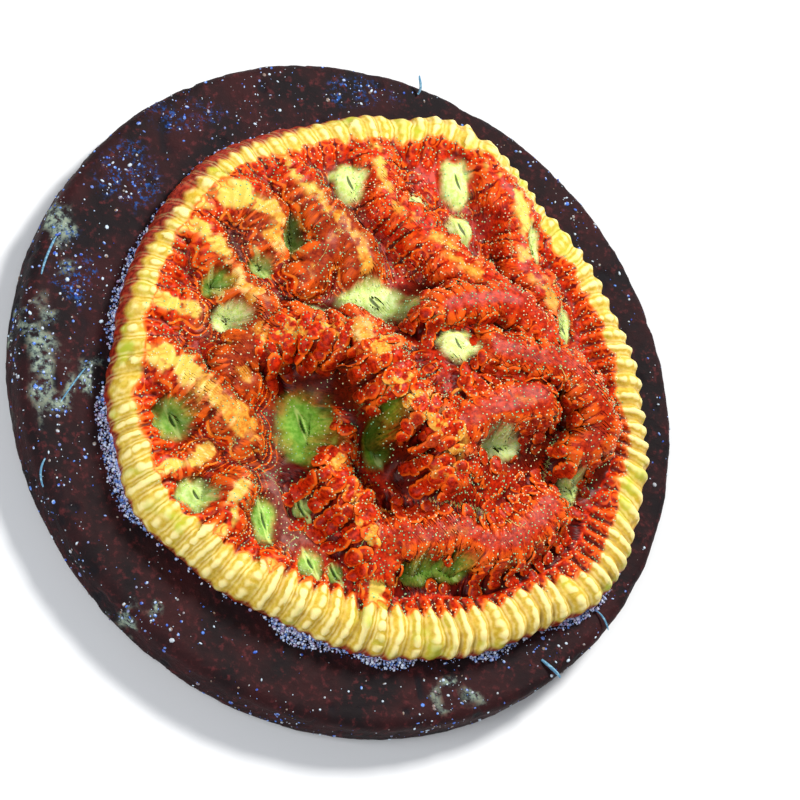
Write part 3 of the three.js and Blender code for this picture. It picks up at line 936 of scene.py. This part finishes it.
def beads(points, normals, marks, land):
    """A rounded bead on the middle of each swelling of each rib.

    Its half-sizes are 0.6 of the ribs' pitch across, 0.8 of the bead's length along and 0.36 of the pitch up.
    """
    ids = np.unique(land.key, axis=0, return_inverse=True)[1].ravel()
    off = np.hypot(land.u, land.v)
    order = np.lexsort((off, ids))
    chosen = order[np.unique(ids[order], return_index=True)[1]]
    chosen = chosen[(off[chosen] < 0.4) & (land.beaded[chosen] > 0.35) & (marks["mouth"][chosen] < 0.15)]
    rng = np.random.default_rng(17)
    full = land.beaded[chosen]
    scale = rng.uniform(0.75, 1.2, (len(chosen), 3)) * (0.75 + 0.25 * full)[:, None]
    pitch, bead = land.cell[chosen].T
    half = np.column_stack([0.6 * pitch, 0.8 * bead, 0.36 * pitch]) * scale
    kept = {key: marks[key][chosen] for key in ("crest", "veil", "rim", "lemon", "sunk_shade")}
    kept["tone"] = rng.random(len(chosen))
    place = points[chosen] - normals[chosen] * (0.1 + 0.08 * rng.random(len(chosen)))[:, None]
    return domes("rib_beads", place, normals[chosen], land.across[chosen], half, 10,
                 np.radians([26, 50, 72, 92]), kept, 0.16)


def papillae(skin, marks, knobs):
    """Pale pimples over flesh and beads, thick on the floors and flanks, with none on the rim or in mouths.

    Each is a five-sided dome, 0.042 to 0.072 mm in radius. Their likelihood is the product of one minus each
    mark that keeps them away.
    """
    weight = (1 - marks["rim"]) * (1 - marks["bare"]) * (1 - 0.75 * marks["crest"])
    weight = weight * (1 - 0.8 * marks["beaded"]) * (1 - 0.75 * marks["sunk_shade"]) + 1e-9
    place, normal = spots_on(*skin, weight, PAPILLA_TRIES, PAPILLA_SPACING, 7)
    upward = np.clip(knobs[1][:, 2], 0.01, 1)
    on_knob, knob_normal = spots_on(*knobs, upward, PAPILLA_TRIES // 2, 0.4, 9)
    place, normal = np.vstack([place, on_knob]), np.vstack([normal, knob_normal])
    rng = np.random.default_rng(8)
    radius = rng.uniform(0.042, 0.072, len(place))
    helper = np.where(np.abs(normal[:, 2:3]) > 0.9, [[1.0, 0, 0]], [[0, 0, 1.0]])
    half = np.column_stack([radius, radius, radius * 1.1])
    return domes("papillae", place, normal, helper, half, 5, np.radians([55, 100]))[0]


# ---------------------------------------------------------------- the disc

def disc_body():
    """The crusted disc: a turned profile with rounded edges, roughened by growth on all but its underside.

    The profile runs from the top's centre out, round the edge and back to the underside's centre. Noise
    sinks each point along its normal by up to 0.26 mm, and by 0.16 mm more in pits. Pale patches stand proud.
    """
    edge = DISC_RADIUS - DISC_EDGE_ROUNDING
    flat = np.linspace(0, 1, DISC_RINGS)[1:] ** 0.7 * edge
    bend = np.linspace(math.pi / 2, 0, 7)[1:]
    top = np.column_stack([flat, np.full(len(flat), DISC_TOP)])
    upper = np.column_stack([edge + DISC_EDGE_ROUNDING * np.cos(bend),
                             DISC_TOP - DISC_EDGE_ROUNDING * (1 - np.sin(bend))])
    side = np.column_stack([np.full(16, DISC_RADIUS),
                            np.linspace(DISC_TOP - DISC_EDGE_ROUNDING, DISC_EDGE_ROUNDING, 18)[1:-1]])
    lower = upper[::-1] * [1, -1] + [0, DISC_TOP]
    under = np.array([[edge, 0.0], [DISC_RADIUS * 0.6, 0.0]])
    profile = np.vstack([top, upper, side, lower, under])
    turn = np.arange(DISC_COLUMNS) * TAU / DISC_COLUMNS
    radius = profile[:, 0][:, None]
    points = np.stack([radius * np.cos(turn), radius * np.sin(turn),
                       np.repeat(profile[:, 1:], DISC_COLUMNS, 1)], axis=-1)
    rings = np.arange(points.shape[0] * DISC_COLUMNS).reshape(-1, DISC_COLUMNS)
    points = points.reshape(-1, 3)
    tip, foot = len(points), len(points) + 1
    points = np.vstack([points, [[0, 0, DISC_TOP], [0, 0, 0]]])
    quads = ring_faces(rings)
    after = np.roll(rings, -1, axis=1)
    fans = np.vstack([
        np.column_stack([np.full(DISC_COLUMNS, tip), rings[0], after[0]]),
        np.column_stack([np.full(DISC_COLUMNS, foot), after[-1], rings[-1]]),
    ])
    normals = vertex_normals(points, quads, fans)
    growth = 0.5 + 0.5 * rough(points, 2.4, 51, 4)
    pits = smoothstep(0.45, 0.8, lumps(points, 1.1, 57))
    ragged = points[:, :2] + 0.8 * np.column_stack([lumps(points, 1.2, 71), lumps(points, 1.2, 72)])
    broken = smoothstep(-0.35, 0.3, lumps(points, 0.9, 73))
    pale, blue = (sum(within(*ragged.T, *patch) for patch in patches) * broken
                  for patches in (PALE_PATCHES, BLUE_PATCHES))
    depth = -0.26 * growth - 0.16 * pits + 0.1 * pale + 0.05 * rough(points, 0.5, 77, 2)
    free = smoothstep(0.02, 0.5, points[:, 2])
    points += normals * (depth * free)[:, None]
    marks = {"pit": pits, "pale": np.clip(pale, 0, 1), "blue": np.clip(blue, 0, 1)}
    return new_piece("crusted_disc", points, (quads, fans), marks), points, normals, quads


def margin_crust():
    """Heaped crust granules on the disc along the colony's lower and left margin, in clumps.

    They are strewn by angle, likelier where noise and the side allow, and thin out with distance from the
    outline. Each is a six-sided dome turned at random.
    """
    rng = np.random.default_rng(31)
    angle = rng.uniform(0, TAU, CRUST_TRIES)
    turn = np.stack([np.cos(angle) * 6, np.sin(angle) * 6], axis=1)
    amount = np.clip(np.cos(angle - math.radians(250)), 0, 1) + 0.3 * np.clip(np.cos(angle - 2.6), 0, 1)
    amount = amount * smoothstep(-0.4, 0.5, lumps(turn, 1.1, 33)) + 0.03
    kept = rng.random(len(angle)) < amount
    angle, amount = angle[kept], amount[kept]
    out = rng.random(len(angle)) ** 1.8 * (0.2 + 0.8 * amount)
    reach = outline_radius(angle) + out - 0.15
    size = (0.03 + 0.13 * rng.random(len(angle)) ** 2) * (1 - 0.3 * out)
    lift = rng.random(len(angle)) * np.clip(0.55 - out * 0.5, 0, 1) - 0.1
    place = np.column_stack([COLONY_CENTRE[0] + PLAN_SHIFT[0] + reach * np.cos(angle),
                             COLONY_CENTRE[1] + PLAN_SHIFT[1] + reach * np.sin(angle), DISC_TOP + lift])
    normal = np.column_stack([0.4 * np.cos(angle), 0.4 * np.sin(angle), np.ones(len(angle))])
    normal += rng.normal(0, 0.4, normal.shape)
    normal /= np.linalg.norm(normal, axis=1, keepdims=True)
    half = size[:, None] * rng.uniform(0.7, 1.4, (len(angle), 3))
    across = rng.normal(0, 1, normal.shape)
    marks = {"tone": rng.random(len(angle))}
    return domes("margin_crust", place, normal, across, half, 6, np.radians([45, 100]), marks)[0]


def disc_flecks(points, normals, quads):
    """Loose flecks all over the disc: blue, pale and tan grains of 0.03 to 0.14 mm, most of them tiny.

    The size is 0.03 mm + 0.11 mm times the cube of a random number. They lie thicker on the stains.
    """
    clumps = 0.25 + smoothstep(-0.2, 0.6, lumps(points, 3.0, 81))
    weight = smoothstep(0.3, 1.0, points[:, 2]) * clumps + 1e-9
    for patch in PALE_PATCHES + BLUE_PATCHES:
        weight += 1.5 * within(points[:, 0], points[:, 1], *patch) * (points[:, 2] > 1)
    place, normal = spots_on(points, normals, quads, weight, FLECK_TRIES, FLECK_SPACING, 83)
    rng = np.random.default_rng(84)
    size = 0.03 + 0.11 * rng.random(len(place)) ** 3
    half = size[:, None] * rng.uniform(0.6, 1.6, (len(place), 3)) * [1, 1, 0.7]
    across = rng.normal(0, 1, normal.shape)
    marks = {"tone": rng.random(len(place))}
    return domes("disc_flecks", place, normal, across, half, 6, np.radians([50, 100]), marks)[0]


def worm_tubes():
    """Short limy worm tubes and threads on the disc: round tubes swept along cubic Bezier curves, closed.

    The radius follows sin(pi (0.12 + 0.8 t))^0.4, so a tube is thinner at both ends.
    """
    turn = np.arange(WORM_SIDES) * TAU / WORM_SIDES
    blocks, quads, tris = [], [], []
    for number, path in enumerate(WORM_PATHS):
        a, b, c, d = np.array(path)
        t = np.linspace(0, 1, WORM_STEPS)[:, None]
        course = a * (1 - t) ** 3 + 3 * b * t * (1 - t) ** 2 + 3 * c * t**2 * (1 - t) + d * t**3
        along = np.gradient(course, axis=0)
        along /= np.linalg.norm(along, axis=1, keepdims=True)
        right = np.cross(along, [0, 0, 1.0])
        right /= np.linalg.norm(right, axis=1, keepdims=True)
        up = np.cross(right, along)
        thickness = 0.1 * (0.6 + 0.8 * chance(np.array([[number]]), 91)[0])
        radius = thickness * np.sin(np.pi * (0.12 + 0.8 * t)) ** 0.4
        tube = (course[:, None] + (right * radius)[:, None] * np.cos(turn)[None, :, None]
                + (up * radius)[:, None] * np.sin(turn)[None, :, None])
        rings = np.arange(WORM_SIDES * WORM_STEPS).reshape(WORM_STEPS, WORM_SIDES)
        rings = rings + number * rings.size
        quads.append(ring_faces(rings)[:, ::-1])
        s = np.arange(1, WORM_SIDES - 1)
        for ring, first, second in ((rings[0], s, s + 1), (rings[-1], s + 1, s)):
            tris.append(np.stack([ring[first], ring[second], np.full(len(s), ring[0])], axis=1))
        blocks.append(tube.reshape(-1, 3))
    return new_piece("worm_tubes", np.vstack(blocks), (np.vstack(quads), np.vstack(tris)))


# ---------------------------------------------------------------- materials

def linear(red, green, blue):
    """A given colour, as the linear light that the shader wants: ((value + 0.055) / 1.055)^2.4."""
    def one(value):
        return value / 12.92 if value <= 0.04045 else ((value + 0.055) / 1.055) ** 2.4
    return (one(red), one(green), one(blue), 1.0)


class Shading:
    """A material and short ways to add nodes to it. Colours are given as red, green and blue."""

    def __init__(self, name):
        """Starts with a plain surface and the piece's own coordinates."""
        self.material = bpy.data.materials.new(name)
        self.material.use_nodes = True
        self.tree = self.material.node_tree
        self.skin = self.tree.nodes["Principled BSDF"]
        self.place = self.tree.nodes.new("ShaderNodeTexCoord").outputs["Object"]

    def feed(self, socket, value):
        """Links a socket, or sets a plain number or a colour."""
        if isinstance(value, bpy.types.NodeSocket):
            self.tree.links.new(value, socket)
        else:
            socket.default_value = linear(*value) if isinstance(value, tuple) else value

    def attribute(self, name):
        """One of the piece's own marks."""
        node = self.tree.nodes.new("ShaderNodeAttribute")
        node.attribute_name = name
        return node.outputs["Fac"]

    def mix(self, share, first, second, kind="RGBA"):
        """The first colour where the share is 0, the second where it is 1."""
        node = self.tree.nodes.new("ShaderNodeMix")
        node.data_type = kind
        node.clamp_factor = True
        for name, value in (("Factor", share), ("A", first), ("B", second)):
            self.feed(node.inputs[name], value)
        return node.outputs["Result"]

    def mix_number(self, share, first, second):
        """The first number where the share is 0, the second where it is 1."""
        return self.mix(share, first, second, "FLOAT")

    def maths(self, way, first, second=0.0, third=0.0):
        """One step of arithmetic."""
        node = self.tree.nodes.new("ShaderNodeMath")
        node.operation = way
        for socket, value in zip(node.inputs, (first, second, third)):
            self.feed(socket, value)
        return node.outputs[0]

    def times(self, first, second):
        """The product of two numbers."""
        return self.maths("MULTIPLY", first, second)

    def ramp(self, value, low, high):
        """0 at low, 1 at high, smooth between."""
        node = self.tree.nodes.new("ShaderNodeMapRange")
        node.interpolation_type = "SMOOTHSTEP"
        self.feed(node.inputs["Value"], value)
        node.inputs["From Min"].default_value = low
        node.inputs["From Max"].default_value = high
        return node.outputs["Result"]

    def tint(self, value, low, high, first, second):
        """From the first colour to the second as a value goes from low to high."""
        return self.mix(self.ramp(value, low, high), first, second)

    def noise(self, size, detail=3.0, roughness=0.5):
        """Noise whose features are about the given size, in millimetres."""
        node = self.tree.nodes.new("ShaderNodeTexNoise")
        self.feed(node.inputs["Vector"], self.place)
        node.inputs["Scale"].default_value = 1 / (size * MM)
        node.inputs["Detail"].default_value = detail
        node.inputs["Roughness"].default_value = roughness
        return node.outputs["Fac"]

    def bump(self, height, distance, strength):
        """The surface's direction, tilted as if height stood out by the given distance in millimetres."""
        node = self.tree.nodes.new("ShaderNodeBump")
        node.inputs["Strength"].default_value = strength
        node.inputs["Distance"].default_value = distance * MM
        self.feed(node.inputs["Height"], height)
        return node.outputs["Normal"]

    def set(self, **values):
        """Feeds the surface's inputs, named with _ for each space."""
        for key, value in values.items():
            self.feed(self.skin.inputs[key.replace("_", " ")], value)


def wet(s, colour, fine):
    """Finishes a flesh material: soft gloss, a little light let through and an orange bloom at its edges."""
    s.set(Base_Color=colour, Roughness=0.42, Specular_IOR_Level=0.12, Subsurface_Weight=0.1,
          Subsurface_Scale=0.4 * MM, Sheen_Weight=0.12, Sheen_Roughness=0.3, Sheen_Tint=(1.0, 0.4, 0.1))
    s.skin.inputs["Subsurface Radius"].default_value = (1.0, 0.35, 0.15)
    s.set(Normal=s.bump(fine, 0.04, 0.5))
    return s.material


def wall_colour(s, fine, crest):
    """Red flanks, umber shoulders, plum floors, gold crests, and painted shade in dark red under the free
    beads.
    """
    red = s.tint(fine, 0.35, 0.65, RED_DEEP, RED)
    top = s.times(s.ramp(s.attribute("shoulder"), 0.98, 0.86), s.attribute("veil"))
    colour = s.mix(s.times(top, 0.85), red, s.tint(fine, 0.3, 0.7, UMBER_DEEP, UMBER))
    plum = s.tint(fine, 0.3, 0.7, (0.38, 0.15, 0.13), (0.55, 0.27, 0.21))
    colour = s.mix(s.attribute("floor"), colour, plum)
    gold = s.mix(s.attribute("lemon"), s.tint(fine, 0.3, 0.7, GOLD_DEEP, GOLD), LEMON)
    colour = s.mix(s.ramp(crest, 0.22, 0.46), colour, gold)
    # painted shade: dark red on the skin under the free beads
    return s.mix(s.times(s.attribute("beaded"), 0.8), colour, (0.32, 0.01, 0.0))


def fold_colour(s, colour, patchy, crest, hollow):
    """Adds painted shade at the walls' feet, an orange line every 0.45 mm across the folds, painted glow lines
    along the shoulders and painted highlights on high spots.
    """
    shoulder = s.attribute("shoulder")
    # painted shade: dark red along the walls' feet
    colour = s.mix(s.times(s.attribute("foot"), 0.5), colour, (0.3, 0.01, 0.0))
    wave = s.maths("PINGPONG", s.attribute("fold_run"), 0.225)
    folded = s.times(s.attribute("folded"), s.ramp(shoulder, 1.0, 1.15))
    colour = s.mix(s.times(folded, 0.45), colour, (0.38, 0.02, 0.01))
    colour = s.mix(s.times(s.ramp(wave, 0.15, 0.2), folded), colour, ORANGE)
    # painted glow: a bright orange line along each wall's shoulder, where the flesh turns away
    edge = s.maths("SUBTRACT", s.ramp(shoulder, 0.85, 0.93), s.ramp(shoulder, 0.99, 1.05))
    edge = s.times(s.times(edge, s.attribute("edge_glow")), 0.85)
    colour = s.mix(edge, colour, s.mix(patchy, ORANGE, (1.0, 0.62, 0.2)))
    # painted highlight: orange to pale lemon on bumps that stand above their neighbours
    painted_highlight = s.tint(crest, 0.15, 0.65, ORANGE, LEMON_HIGHLIGHT)
    return s.mix(s.times(s.ramp(hollow, -0.3, -0.9), 0.6), colour, painted_highlight)


def rim_colour(s, colour, rim, fine, broad, hollow):
    """Adds the lemon rim with painted highlights on its bumps, the orange edge inside it and the brick-red lip
    below it.
    """
    lemon = s.tint(fine, 0.35, 0.7, LEMON_DEEP, LEMON)
    # painted highlight: pale lemon on the rim's bumps
    lemon = s.tint(hollow, -0.2, -0.8, lemon, LEMON_HIGHLIGHT)
    lemon = s.tint(broad, 0.5, 0.75, lemon, (0.7, 0.74, 0.2))
    colour = s.tint(rim, 0.02, 0.35, colour, (0.93, 0.45, 0.12))
    colour = s.tint(rim, 0.3, 0.75, colour, lemon)
    brick = s.tint(fine, 0.35, 0.65, (0.42, 0.08, 0.05), (0.68, 0.21, 0.13))
    return s.mix(s.attribute("lip"), colour, brick)


def rib_colour(s, colour, rim, broad, patchy, crest, hollow):
    """Adds a painted glow line round each bead of the ribs, and painted shadow between the ribs and in
    hollows.

    A place's distance from its bead's middle is sqrt(across^2 + k along^2), and 1 half-way to the next rib.
    """
    across = s.times(s.maths("PINGPONG", s.maths("ADD", s.attribute("phase"), 400.0), 0.5), 2.0)
    along = s.times(s.maths("PINGPONG", s.maths("ADD", s.attribute("steps"), 400.5), 0.5), 2.0)
    stacked = s.times(s.times(along, along), s.mix_number(rim, 0.55, 0.12))
    off_middle = s.maths("SQRT", s.maths("MULTIPLY_ADD", across, across, stacked))
    here = s.attribute("ribs")
    # painted glow: a bright ring round each bead's outline, lemon on the rim and orange elsewhere
    ring = s.maths("SUBTRACT", s.ramp(off_middle, 0.6, 0.78), s.ramp(off_middle, 0.86, 0.98))
    strength = s.mix_number(rim, 0.85, s.mix_number(patchy, 0.2, 0.7))
    colour = s.mix(s.times(s.times(ring, here), strength), colour, s.mix(rim, ORANGE, LEMON_HIGHLIGHT))

    # painted shade in the grooves between the ribs
    between = s.mix_number(rim, s.ramp(off_middle, 0.88, 1.1), s.ramp(off_middle, 0.93, 1.02))
    weak = s.mix_number(s.ramp(broad, 0.4, 0.6), 0.05, 0.45)
    groove_shade = s.times(between, s.times(here, s.mix_number(rim, 0.85, weak)))
    # painted shade in the skin's hollows, dark red on walls and olive on the rim, weaker on gold crests
    depth = s.times(s.ramp(hollow, 0.15, 0.9), s.mix_number(rim, 0.8, 0.4))
    gilt = s.mix_number(rim, s.ramp(crest, 0.18, 0.4), 0.0)
    depth = s.times(s.maths("MAXIMUM", depth, groove_shade), s.mix_number(gilt, 1.0, 0.25))
    return s.mix(depth, colour, s.mix(rim, SHADOW_RED, SHADOW_OLIVE))


def mouth_colour(s, colour, fine):
    """Adds lime or milky mouths, pale lips round their slits, painted shade in the slits and painted shade in
    the deepest hollows.
    """
    lime = s.tint(fine, 0.3, 0.7, (0.36, 0.66, 0.12), (0.58, 0.82, 0.26))
    milk = s.tint(fine, 0.3, 0.7, (0.8, 0.9, 0.45), (0.93, 0.98, 0.72))
    colour = s.mix(s.attribute("mouth"), colour, s.mix(s.attribute("pale"), lime, milk))
    along, across = s.attribute("slit_along"), s.attribute("slit_across")
    slit = s.maths("SQRT", s.maths("MULTIPLY_ADD", across, across, s.times(along, along)))
    lips = s.maths("SUBTRACT", s.ramp(slit, 1.1, 1.4), s.ramp(slit, 1.6, 2.4))
    colour = s.mix(s.times(lips, 0.6), colour, (0.86, 0.95, 0.55))
    # painted shade: dark olive down each mouth's slit
    colour = s.mix(s.times(s.ramp(slit, 1.05, 0.6), 0.85), colour, (0.1, 0.17, 0.03))
    # painted shade: near-black where a place lies below its surroundings
    return s.mix(s.times(s.attribute("sunk_shade"), 0.85), colour, (0.09, 0.02, 0.0))


def flesh_material():
    """Wet coral flesh: walls, folds, rim, ribs and mouths, each laid over the ones before."""
    s = Shading("coral flesh")
    fine = s.noise(0.35, 4.0, 0.6)
    broad = s.noise(2.5, 3.0)
    patchy = s.ramp(s.noise(1.5, 3.0), 0.38, 0.62)
    hollow = s.attribute("hollow")
    rim = s.attribute("rim")
    crest = s.times(s.attribute("crest"), s.maths("MULTIPLY_ADD", patchy, 0.65, 0.35))
    colour = wall_colour(s, fine, crest)
    colour = fold_colour(s, colour, patchy, crest, hollow)
    colour = rim_colour(s, colour, rim, fine, broad, hollow)
    colour = rib_colour(s, colour, rim, broad, patchy, crest, hollow)
    return wet(s, mouth_colour(s, colour, fine), fine)


def bead_material():
    """Beads of the ribs: red, gold or lemon middles, painted glow outlines, painted shade at their feet and in
    hollows.
    """
    s = Shading("coral beads")
    fine = s.noise(0.3, 3.0, 0.6)
    broad = s.noise(1.6, 3.0)
    share = s.attribute("share")
    rim = s.attribute("rim")
    cloudy = s.maths("MAXIMUM", s.attribute("veil"), s.times(s.ramp(broad, 0.5, 0.7), 0.6))
    middle = s.tint(fine, 0.35, 0.65, RED_DEEP, RED)
    middle = s.mix(s.times(cloudy, 0.75), middle, s.tint(fine, 0.3, 0.7, UMBER_DEEP, UMBER))
    patchy = s.ramp(s.noise(1.1, 3.0), 0.45, 0.62)
    gold = s.ramp(s.times(patchy, s.attribute("crest")), 0.2, 0.6)
    gilt = s.mix(s.attribute("lemon"), GOLD, LEMON)
    middle = s.mix(gold, middle, s.tint(fine, 0.35, 0.65, GOLD_DEEP, gilt))
    middle = s.mix(rim, middle, s.tint(fine, 0.35, 0.7, LEMON_DEEP, LEMON))
    # painted glow: the bright outline round each bead, lemon on the rim
    line = s.mix(rim, s.mix(gold, ORANGE, (1.0, 0.72, 0.3)), LEMON_HIGHLIGHT)
    bright = s.mix_number(s.ramp(s.noise(0.8, 3.0), 0.35, 0.65), 0.6, 1.0)
    colour = s.mix(s.times(s.ramp(share, 0.42, 0.68), bright), middle, line)
    # painted shade: dark at each bead's foot, where it meets the skin
    colour = s.tint(share, 0.82, 1.0, colour, s.mix(rim, (0.25, 0.01, 0.0), SHADOW_OLIVE))
    # painted shade: near-black where a bead lies below its surroundings
    colour = s.mix(s.times(s.attribute("sunk_shade"), 0.85), colour, (0.09, 0.01, 0.0))
    return wet(s, colour, fine)


def pimple_material():
    """Pale mint to cream papillae."""
    s = Shading("papilla mint")
    tone = s.tint(s.noise(3.0), 0.4, 0.6, (0.5, 0.78, 0.55), (0.86, 0.86, 0.66))
    s.set(Base_Color=tone, Roughness=0.45)
    return s.material


def crust_material():
    """Dark ceramic under maroon crust algae, with blue and pale patches."""
    s = Shading("crusted ceramic")
    fine = s.noise(0.5, 5.0, 0.65)
    colour = s.tint(s.noise(4.0, 4.0), 0.35, 0.65, (0.06, 0.025, 0.04), (0.17, 0.045, 0.055))
    colour = s.tint(fine, 0.52, 0.72, colour, (0.3, 0.11, 0.12))
    # painted shade: near-black in the pits
    colour = s.mix(s.attribute("pit"), colour, (0.04, 0.02, 0.05))
    chalk = s.tint(fine, 0.35, 0.65, (0.22, 0.33, 0.38), (0.55, 0.6, 0.52))
    colour = s.mix(s.times(s.attribute("pale"), s.ramp(fine, 0.38, 0.55)), colour, chalk)
    azure = s.tint(fine, 0.35, 0.65, (0.04, 0.1, 0.24), (0.12, 0.32, 0.6))
    specks = s.ramp(s.noise(0.35, 3.0, 0.7), 0.5, 0.62)
    colour = s.mix(s.times(s.attribute("blue"), specks), colour, azure)
    s.set(Base_Color=colour, Roughness=0.75, Specular_IOR_Level=0.18, Normal=s.bump(fine, 0.12, 0.8))
    return s.material


def grain_material(name, tones):
    """Limy grains: each one takes a place of its own between the given tones."""
    s = Shading(name)
    colour = tones[0]
    for at, tone in enumerate(tones[1:]):
        low = (at + 0.3) / (len(tones) - 0.4)
        colour = s.tint(s.attribute("tone"), low, low + 0.25, colour, tone)
    fine = s.noise(0.2, 3.0)
    colour = s.tint(fine, 0.45, 0.7, colour, tones[-1])
    s.set(Base_Color=colour, Roughness=0.7, Normal=s.bump(fine, 0.05, 0.6))
    return s.material


# ---------------------------------------------------------------- studio

def pose_of(right, up, back, place):
    """The pose of a thing from its three directions and its place in millimetres."""
    pose = np.eye(4)
    pose[:3, :3] = np.stack([right, up, back], axis=1)
    pose[:3, 3] = np.array(place) * MM
    return Matrix(pose.tolist())


def camera():
    """Looks down on the colony from its low left front, turned so that +X runs to the right.

    The lens is the sensor's width times the distance over the width of the view.
    """
    along = np.array([math.cos(CAMERA_TURN), math.sin(CAMERA_TURN), 0])
    beside = np.array([-math.sin(CAMERA_TURN), math.cos(CAMERA_TURN), 0])
    up_tilted = along * math.sin(CAMERA_RISE) + np.array([0, 0, math.cos(CAMERA_RISE)])
    right = up_tilted * math.cos(CAMERA_TURN) - beside * math.sin(CAMERA_TURN)
    up = up_tilted * math.sin(CAMERA_TURN) + beside * math.cos(CAMERA_TURN)
    back = np.cross(right, up)
    data = bpy.data.cameras.new("camera")
    data.sensor_width = SENSOR_WIDTH
    data.lens = SENSOR_WIDTH * CAMERA_DISTANCE / VIEW_WIDTH
    data.clip_start = 0.01
    data.clip_end = 10
    eye = np.array([*AIM, DISC_TOP]) + back * CAMERA_DISTANCE
    rig = bpy.data.objects.new("camera", data)
    rig.matrix_world = pose_of(right, up, back, eye)
    bpy.context.scene.collection.objects.link(rig)
    bpy.context.scene.camera = rig


def softbox(name, place, size, watts, colour):
    """A square area light that faces the lit spot, in millimetres."""
    data = bpy.data.lights.new(name, "AREA")
    data.shape = "SQUARE"
    data.size = size * MM
    data.energy = watts
    data.color = colour
    back = np.array(place, float) - np.array(LIT_SPOT, float)
    back /= np.linalg.norm(back)
    right = np.cross([0.0, 1.0, 0.05], back)
    right /= np.linalg.norm(right)
    light = bpy.data.objects.new(name, data)
    light.matrix_world = pose_of(right, np.cross(back, right), back, place)
    bpy.context.scene.collection.objects.link(light)


def studio():
    """A pale floor, a soft key from the far right, a wide overhead fill and a pale surround."""
    mesh = bpy.data.meshes.new("floor")
    mesh.from_pydata([(-1, -1, 0), (1, -1, 0), (1, 1, 0), (-1, 1, 0)], [], [(0, 1, 2, 3)])
    floor = bpy.data.objects.new("floor", mesh)
    bpy.context.scene.collection.objects.link(floor)
    paint = Shading("floor paint")
    tone = paint.mix(paint.noise(40.0), (0.86, 0.87, 0.88), (0.88, 0.885, 0.89))
    paint.set(Base_Color=tone, Roughness=0.9)
    mesh.materials.append(paint.material)
    softbox("key", (110, 120, 210), 60, 0.92, (1, 0.98, 0.95))
    softbox("fill", (-160, -90, 180), 200, 0.55, (0.97, 0.98, 1))
    world = bpy.data.worlds.new("surround")
    world.use_nodes = True
    world.node_tree.nodes["Background"].inputs["Color"].default_value = (0.9, 0.93, 1.0, 1)
    world.node_tree.nodes["Background"].inputs["Strength"].default_value = 0.22
    bpy.context.scene.world = world
    bpy.context.scene.view_settings.view_transform = "Standard"


# ---------------------------------------------------------------- assembly

def join_to_frame(piece, material, slot, *nodes):
    """Gives a piece its material and the root to ride on, and hides the CAD nodes that it stands for. The slot
    is not used.
    """
    piece.data.materials.append(material)
    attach(piece, "root")
    if nodes:
        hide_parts(*nodes)


camera()
studio()
flesh, skin_points, skin_normals, skin_quads, skin_marks, skin_land = colony()
join_to_frame(flesh, flesh_material(), "coral_flesh", "coral_colony")
knobs, knob_points, knob_normals, knob_faces = beads(skin_points, skin_normals, skin_marks, skin_land)
join_to_frame(knobs, bead_material(), "coral_flesh")
skin = (skin_points, skin_normals, skin_quads)
pimples = papillae(skin, skin_marks, (knob_points, knob_normals, knob_faces[1]))
join_to_frame(pimples, pimple_material(), "coral_flesh")
disc, *disc_skin = disc_body()
join_to_frame(disc, crust_material(), "crusted_ceramic", "frag_disc")
join_to_frame(margin_crust(), grain_material("margin lime", MARGIN_TONES), "crusted_ceramic")
join_to_frame(disc_flecks(*disc_skin), grain_material("disc specks", FLECK_TONES), "crusted_ceramic")
join_to_frame(worm_tubes(), grain_material("tube lime", TUBE_TONES), "crusted_ceramic")
